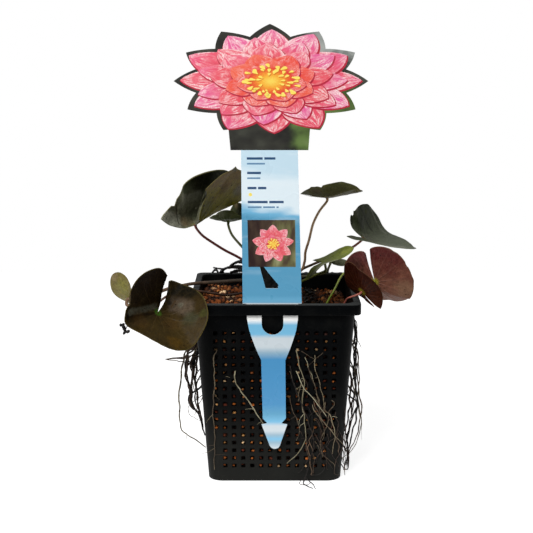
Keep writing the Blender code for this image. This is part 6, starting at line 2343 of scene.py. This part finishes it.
def make_label():
    skins = [label_print(), label_backdrop(), label_plain()]
    sheet = place_piece("label_sheet", label_mesh(), skins, "label_print", ["label"])
    bevel_edges(sheet, LABEL_BEVEL, angle=60)
    petals = {tint: petal_print("petals_" + tint, *inks) for tint, inks in PETAL_INKS.items()}
    shade = flat_ink("petal_shade")
    squash = HEAD_HALF_HEIGHT / HEAD_HALF_WIDTH
    below = (HEAD_X + PETAL_SHADE["right"], HEAD_Z - PETAL_SHADE["down"])
    layer = 0
    for name, tint, seed, tiers in HEAD_TIERS:
        wider = []
        for *first, end, width in tiers:
            wider.append((*first, PETAL_SHADE["longer"] * end, PETAL_SHADE["wider"] * width))
        behind = layer - PETAL_SHADE["behind"]
        shades, _ = bloom_shapes(below, HEAD_HALF_WIDTH, squash, wider, behind, seed)
        shapes, layer = bloom_shapes((HEAD_X, HEAD_Z), HEAD_HALF_WIDTH, squash, tiers, layer, seed)
        print_piece(name + "_shade", shades, shade)
        print_piece(name, shapes, petals[tint])
    gold = heart_print("ink_heart")
    umber = flat_ink("ink_umber")
    yellow = flat_ink("ink_yellow")
    heart = disc_rows((HEAD_X, HEAD_Z), HEAD_HEART * HEAD_HALF_WIDTH, squash)
    print_piece("head_heart", [(heart, layer)], gold)
    below = (HEAD_X + STAMEN_SHADE["right"], HEAD_Z - STAMEN_SHADE["down"])
    for name, middle, skin in (
        ("head_stamen_shade", below, umber),
        ("head_stamens", (HEAD_X, HEAD_Z), yellow),
    ):
        layer += 1
        seed = HEAD_STAMEN_SEED
        stamens = stamen_shapes(middle, HEAD_HALF_WIDTH, squash, HEAD_STAMENS, layer, seed)
        print_piece(name, stamens, skin)
    make_small_picture(petals["rosy"], gold, yellow)
    make_label_lines(yellow)


def box_rows(left, right, foot, top):
    """A flat box in rows near enough to each other to follow the sheet's curve."""
    steps = max(1, math.ceil((top - foot) / BOX_STEP))
    heights = [foot + (top - foot) * step / steps for step in range(steps + 1)]
    return [[(left, z), (right, z)] for z in heights]


def make_small_picture(rosy, gold, yellow):
    """A small square picture of a round bloom on blurred browns and greens."""
    x, z = PICTURE_MIDDLE
    x -= label_middle(z)
    skin = Skin("picture_ground")
    place_x, _, _ = skin.split(skin.place)
    blur = skin.noise(0.012, 3, 0.5, at=skin.stretched(skin.place, (1.6, 1.0, 0.6)))
    shade = blur + (place_x - PICTURE_MIDDLE[0]) * 9
    ground = skin.finish(skin.ramp(shade, PICTURE_GROUND), 0.28 + skin.noise(0.02, 2) * 0.05)
    square = box_rows(x - PICTURE_HALF, x + PICTURE_HALF, z - PICTURE_HALF, z + PICTURE_HALF)
    print_piece("picture_ground", [(square, 0)], ground)
    middle = (x + 0.001, z - 0.0004)
    shapes, layer = bloom_shapes(middle, PICTURE_HALF, PICTURE_SQUASH, PICTURE_TIERS, 1, PICTURE_SEED)
    print_piece("picture_petals", shapes, rosy)
    squash = PICTURE_HEART_SQUASH
    heart = disc_rows(middle, PICTURE_HEART * PICTURE_HALF, squash)
    print_piece("picture_heart", [(heart, layer)], gold)
    seed = PICTURE_STAMEN_SEED
    stamens = stamen_shapes(middle, PICTURE_HALF, squash, PICTURE_STAMENS, layer + 1, seed)
    print_piece("picture_stamens", stamens, yellow)


def make_label_lines(yellow):
    """Plain blocks where the label carries its lines of small print, and a small sun."""
    blocks = {True: [], False: []}
    for z, is_bold, words in SMALL_PRINT:
        half = BOLD_HALF if is_bold else LIGHT_HALF
        left = PRINT_LEFT
        for word in words:
            blocks[is_bold].append((box_rows(left, left + word, z - half, z + half), 0))
            left += word + PRINT_SPACE
    print_piece("label_headings", blocks[True], flat_ink("ink_navy"))
    print_piece("label_small_lines", blocks[False], flat_ink("ink_blue"))
    print_piece("label_sun", [(disc_rows(SUN_MIDDLE, SUN_RADIUS, 1.0, 16), 0)], yellow)


def make_stage():
    """A pale floor, a soft sky, one big soft light, and the photograph's camera."""
    corners = [(-FLOOR_SIDE, FLOOR_FRONT), (FLOOR_SIDE, FLOOR_FRONT), (FLOOR_SIDE, FLOOR_BACK)]
    corners.append((-FLOOR_SIDE, FLOOR_BACK))
    mesh = make_mesh("floor", [(x, y, 0) for x, y in corners], [(0, 1, 2, 3)])
    skin = Skin("floor")
    colour = skin.mix(skin.noise(0.4, 2), (0.5, 0.5, 0.5, 1), (0.52, 0.52, 0.52, 1))
    skin.shader.inputs["Emission Color"].default_value = (1, 1, 1, 1)
    skin.shader.inputs["Emission Strength"].default_value = FLOOR_GLOW
    mesh.materials.append(skin.finish(colour, 0.9, specular=0.0))
    add_object("floor", mesh)
    make_sky()
    lamp = bpy.data.lights.new("key", "AREA")
    lamp.shape = "DISK"
    lamp.size = KEY_SIZE
    lamp.energy = KEY_POWER
    key = add_object("key", lamp)
    key.location = KEY_AT
    key.rotation_euler = (Vector(KEY_AIM) - Vector(KEY_AT)).to_track_quat("-Z", "Y").to_euler()
    camera = bpy.data.cameras.new("camera")
    camera.sensor_width = SENSOR_WIDTH
    camera.lens = CAMERA_LENS
    camera.clip_start = 0.01
    holder = add_object("camera", camera)
    holder.location = CAMERA_AT
    holder.rotation_euler = (CAMERA_TILT, 0, 0)
    bpy.context.scene.camera = holder
    bpy.context.scene.view_settings.view_transform = "Standard"


def make_sky():
    """A sky that looks white, and lights the plant most from behind and least from the front."""
    world = bpy.data.worlds.new("studio")
    world.use_nodes = True
    tree = world.node_tree
    background = tree.nodes["Background"]
    background.inputs["Color"].default_value = (1.0, 1.0, 1.0, 1)
    way = tree.nodes.new("ShaderNodeTexCoord")
    parts = tree.nodes.new("ShaderNodeSeparateXYZ")
    tree.links.new(way.outputs["Generated"], parts.inputs[0])
    back = Field(tree, parts.outputs[1]).smooth(-0.1, 0.7) * (SKY_BACK - SKY_FRONT)
    top = Field(tree, parts.outputs[2]).smooth(0.2, 0.9) * SKY_TOP
    light = back + top + SKY_FRONT
    rays = Field(tree, tree.nodes.new("ShaderNodeLightPath").outputs["Is Camera Ray"])
    light = light.math("MAXIMUM", rays)
    tree.links.new(light.socket, background.inputs["Strength"])
    bpy.context.scene.world = world


make_stage()
make_pot()
make_granules()
make_crown()
for leaf_name in LEAVES:
    make_leaf(leaf_name)
    make_stalk(leaf_name)
make_dead_stalks()
make_litter()
make_shred()
make_roots()
make_label()
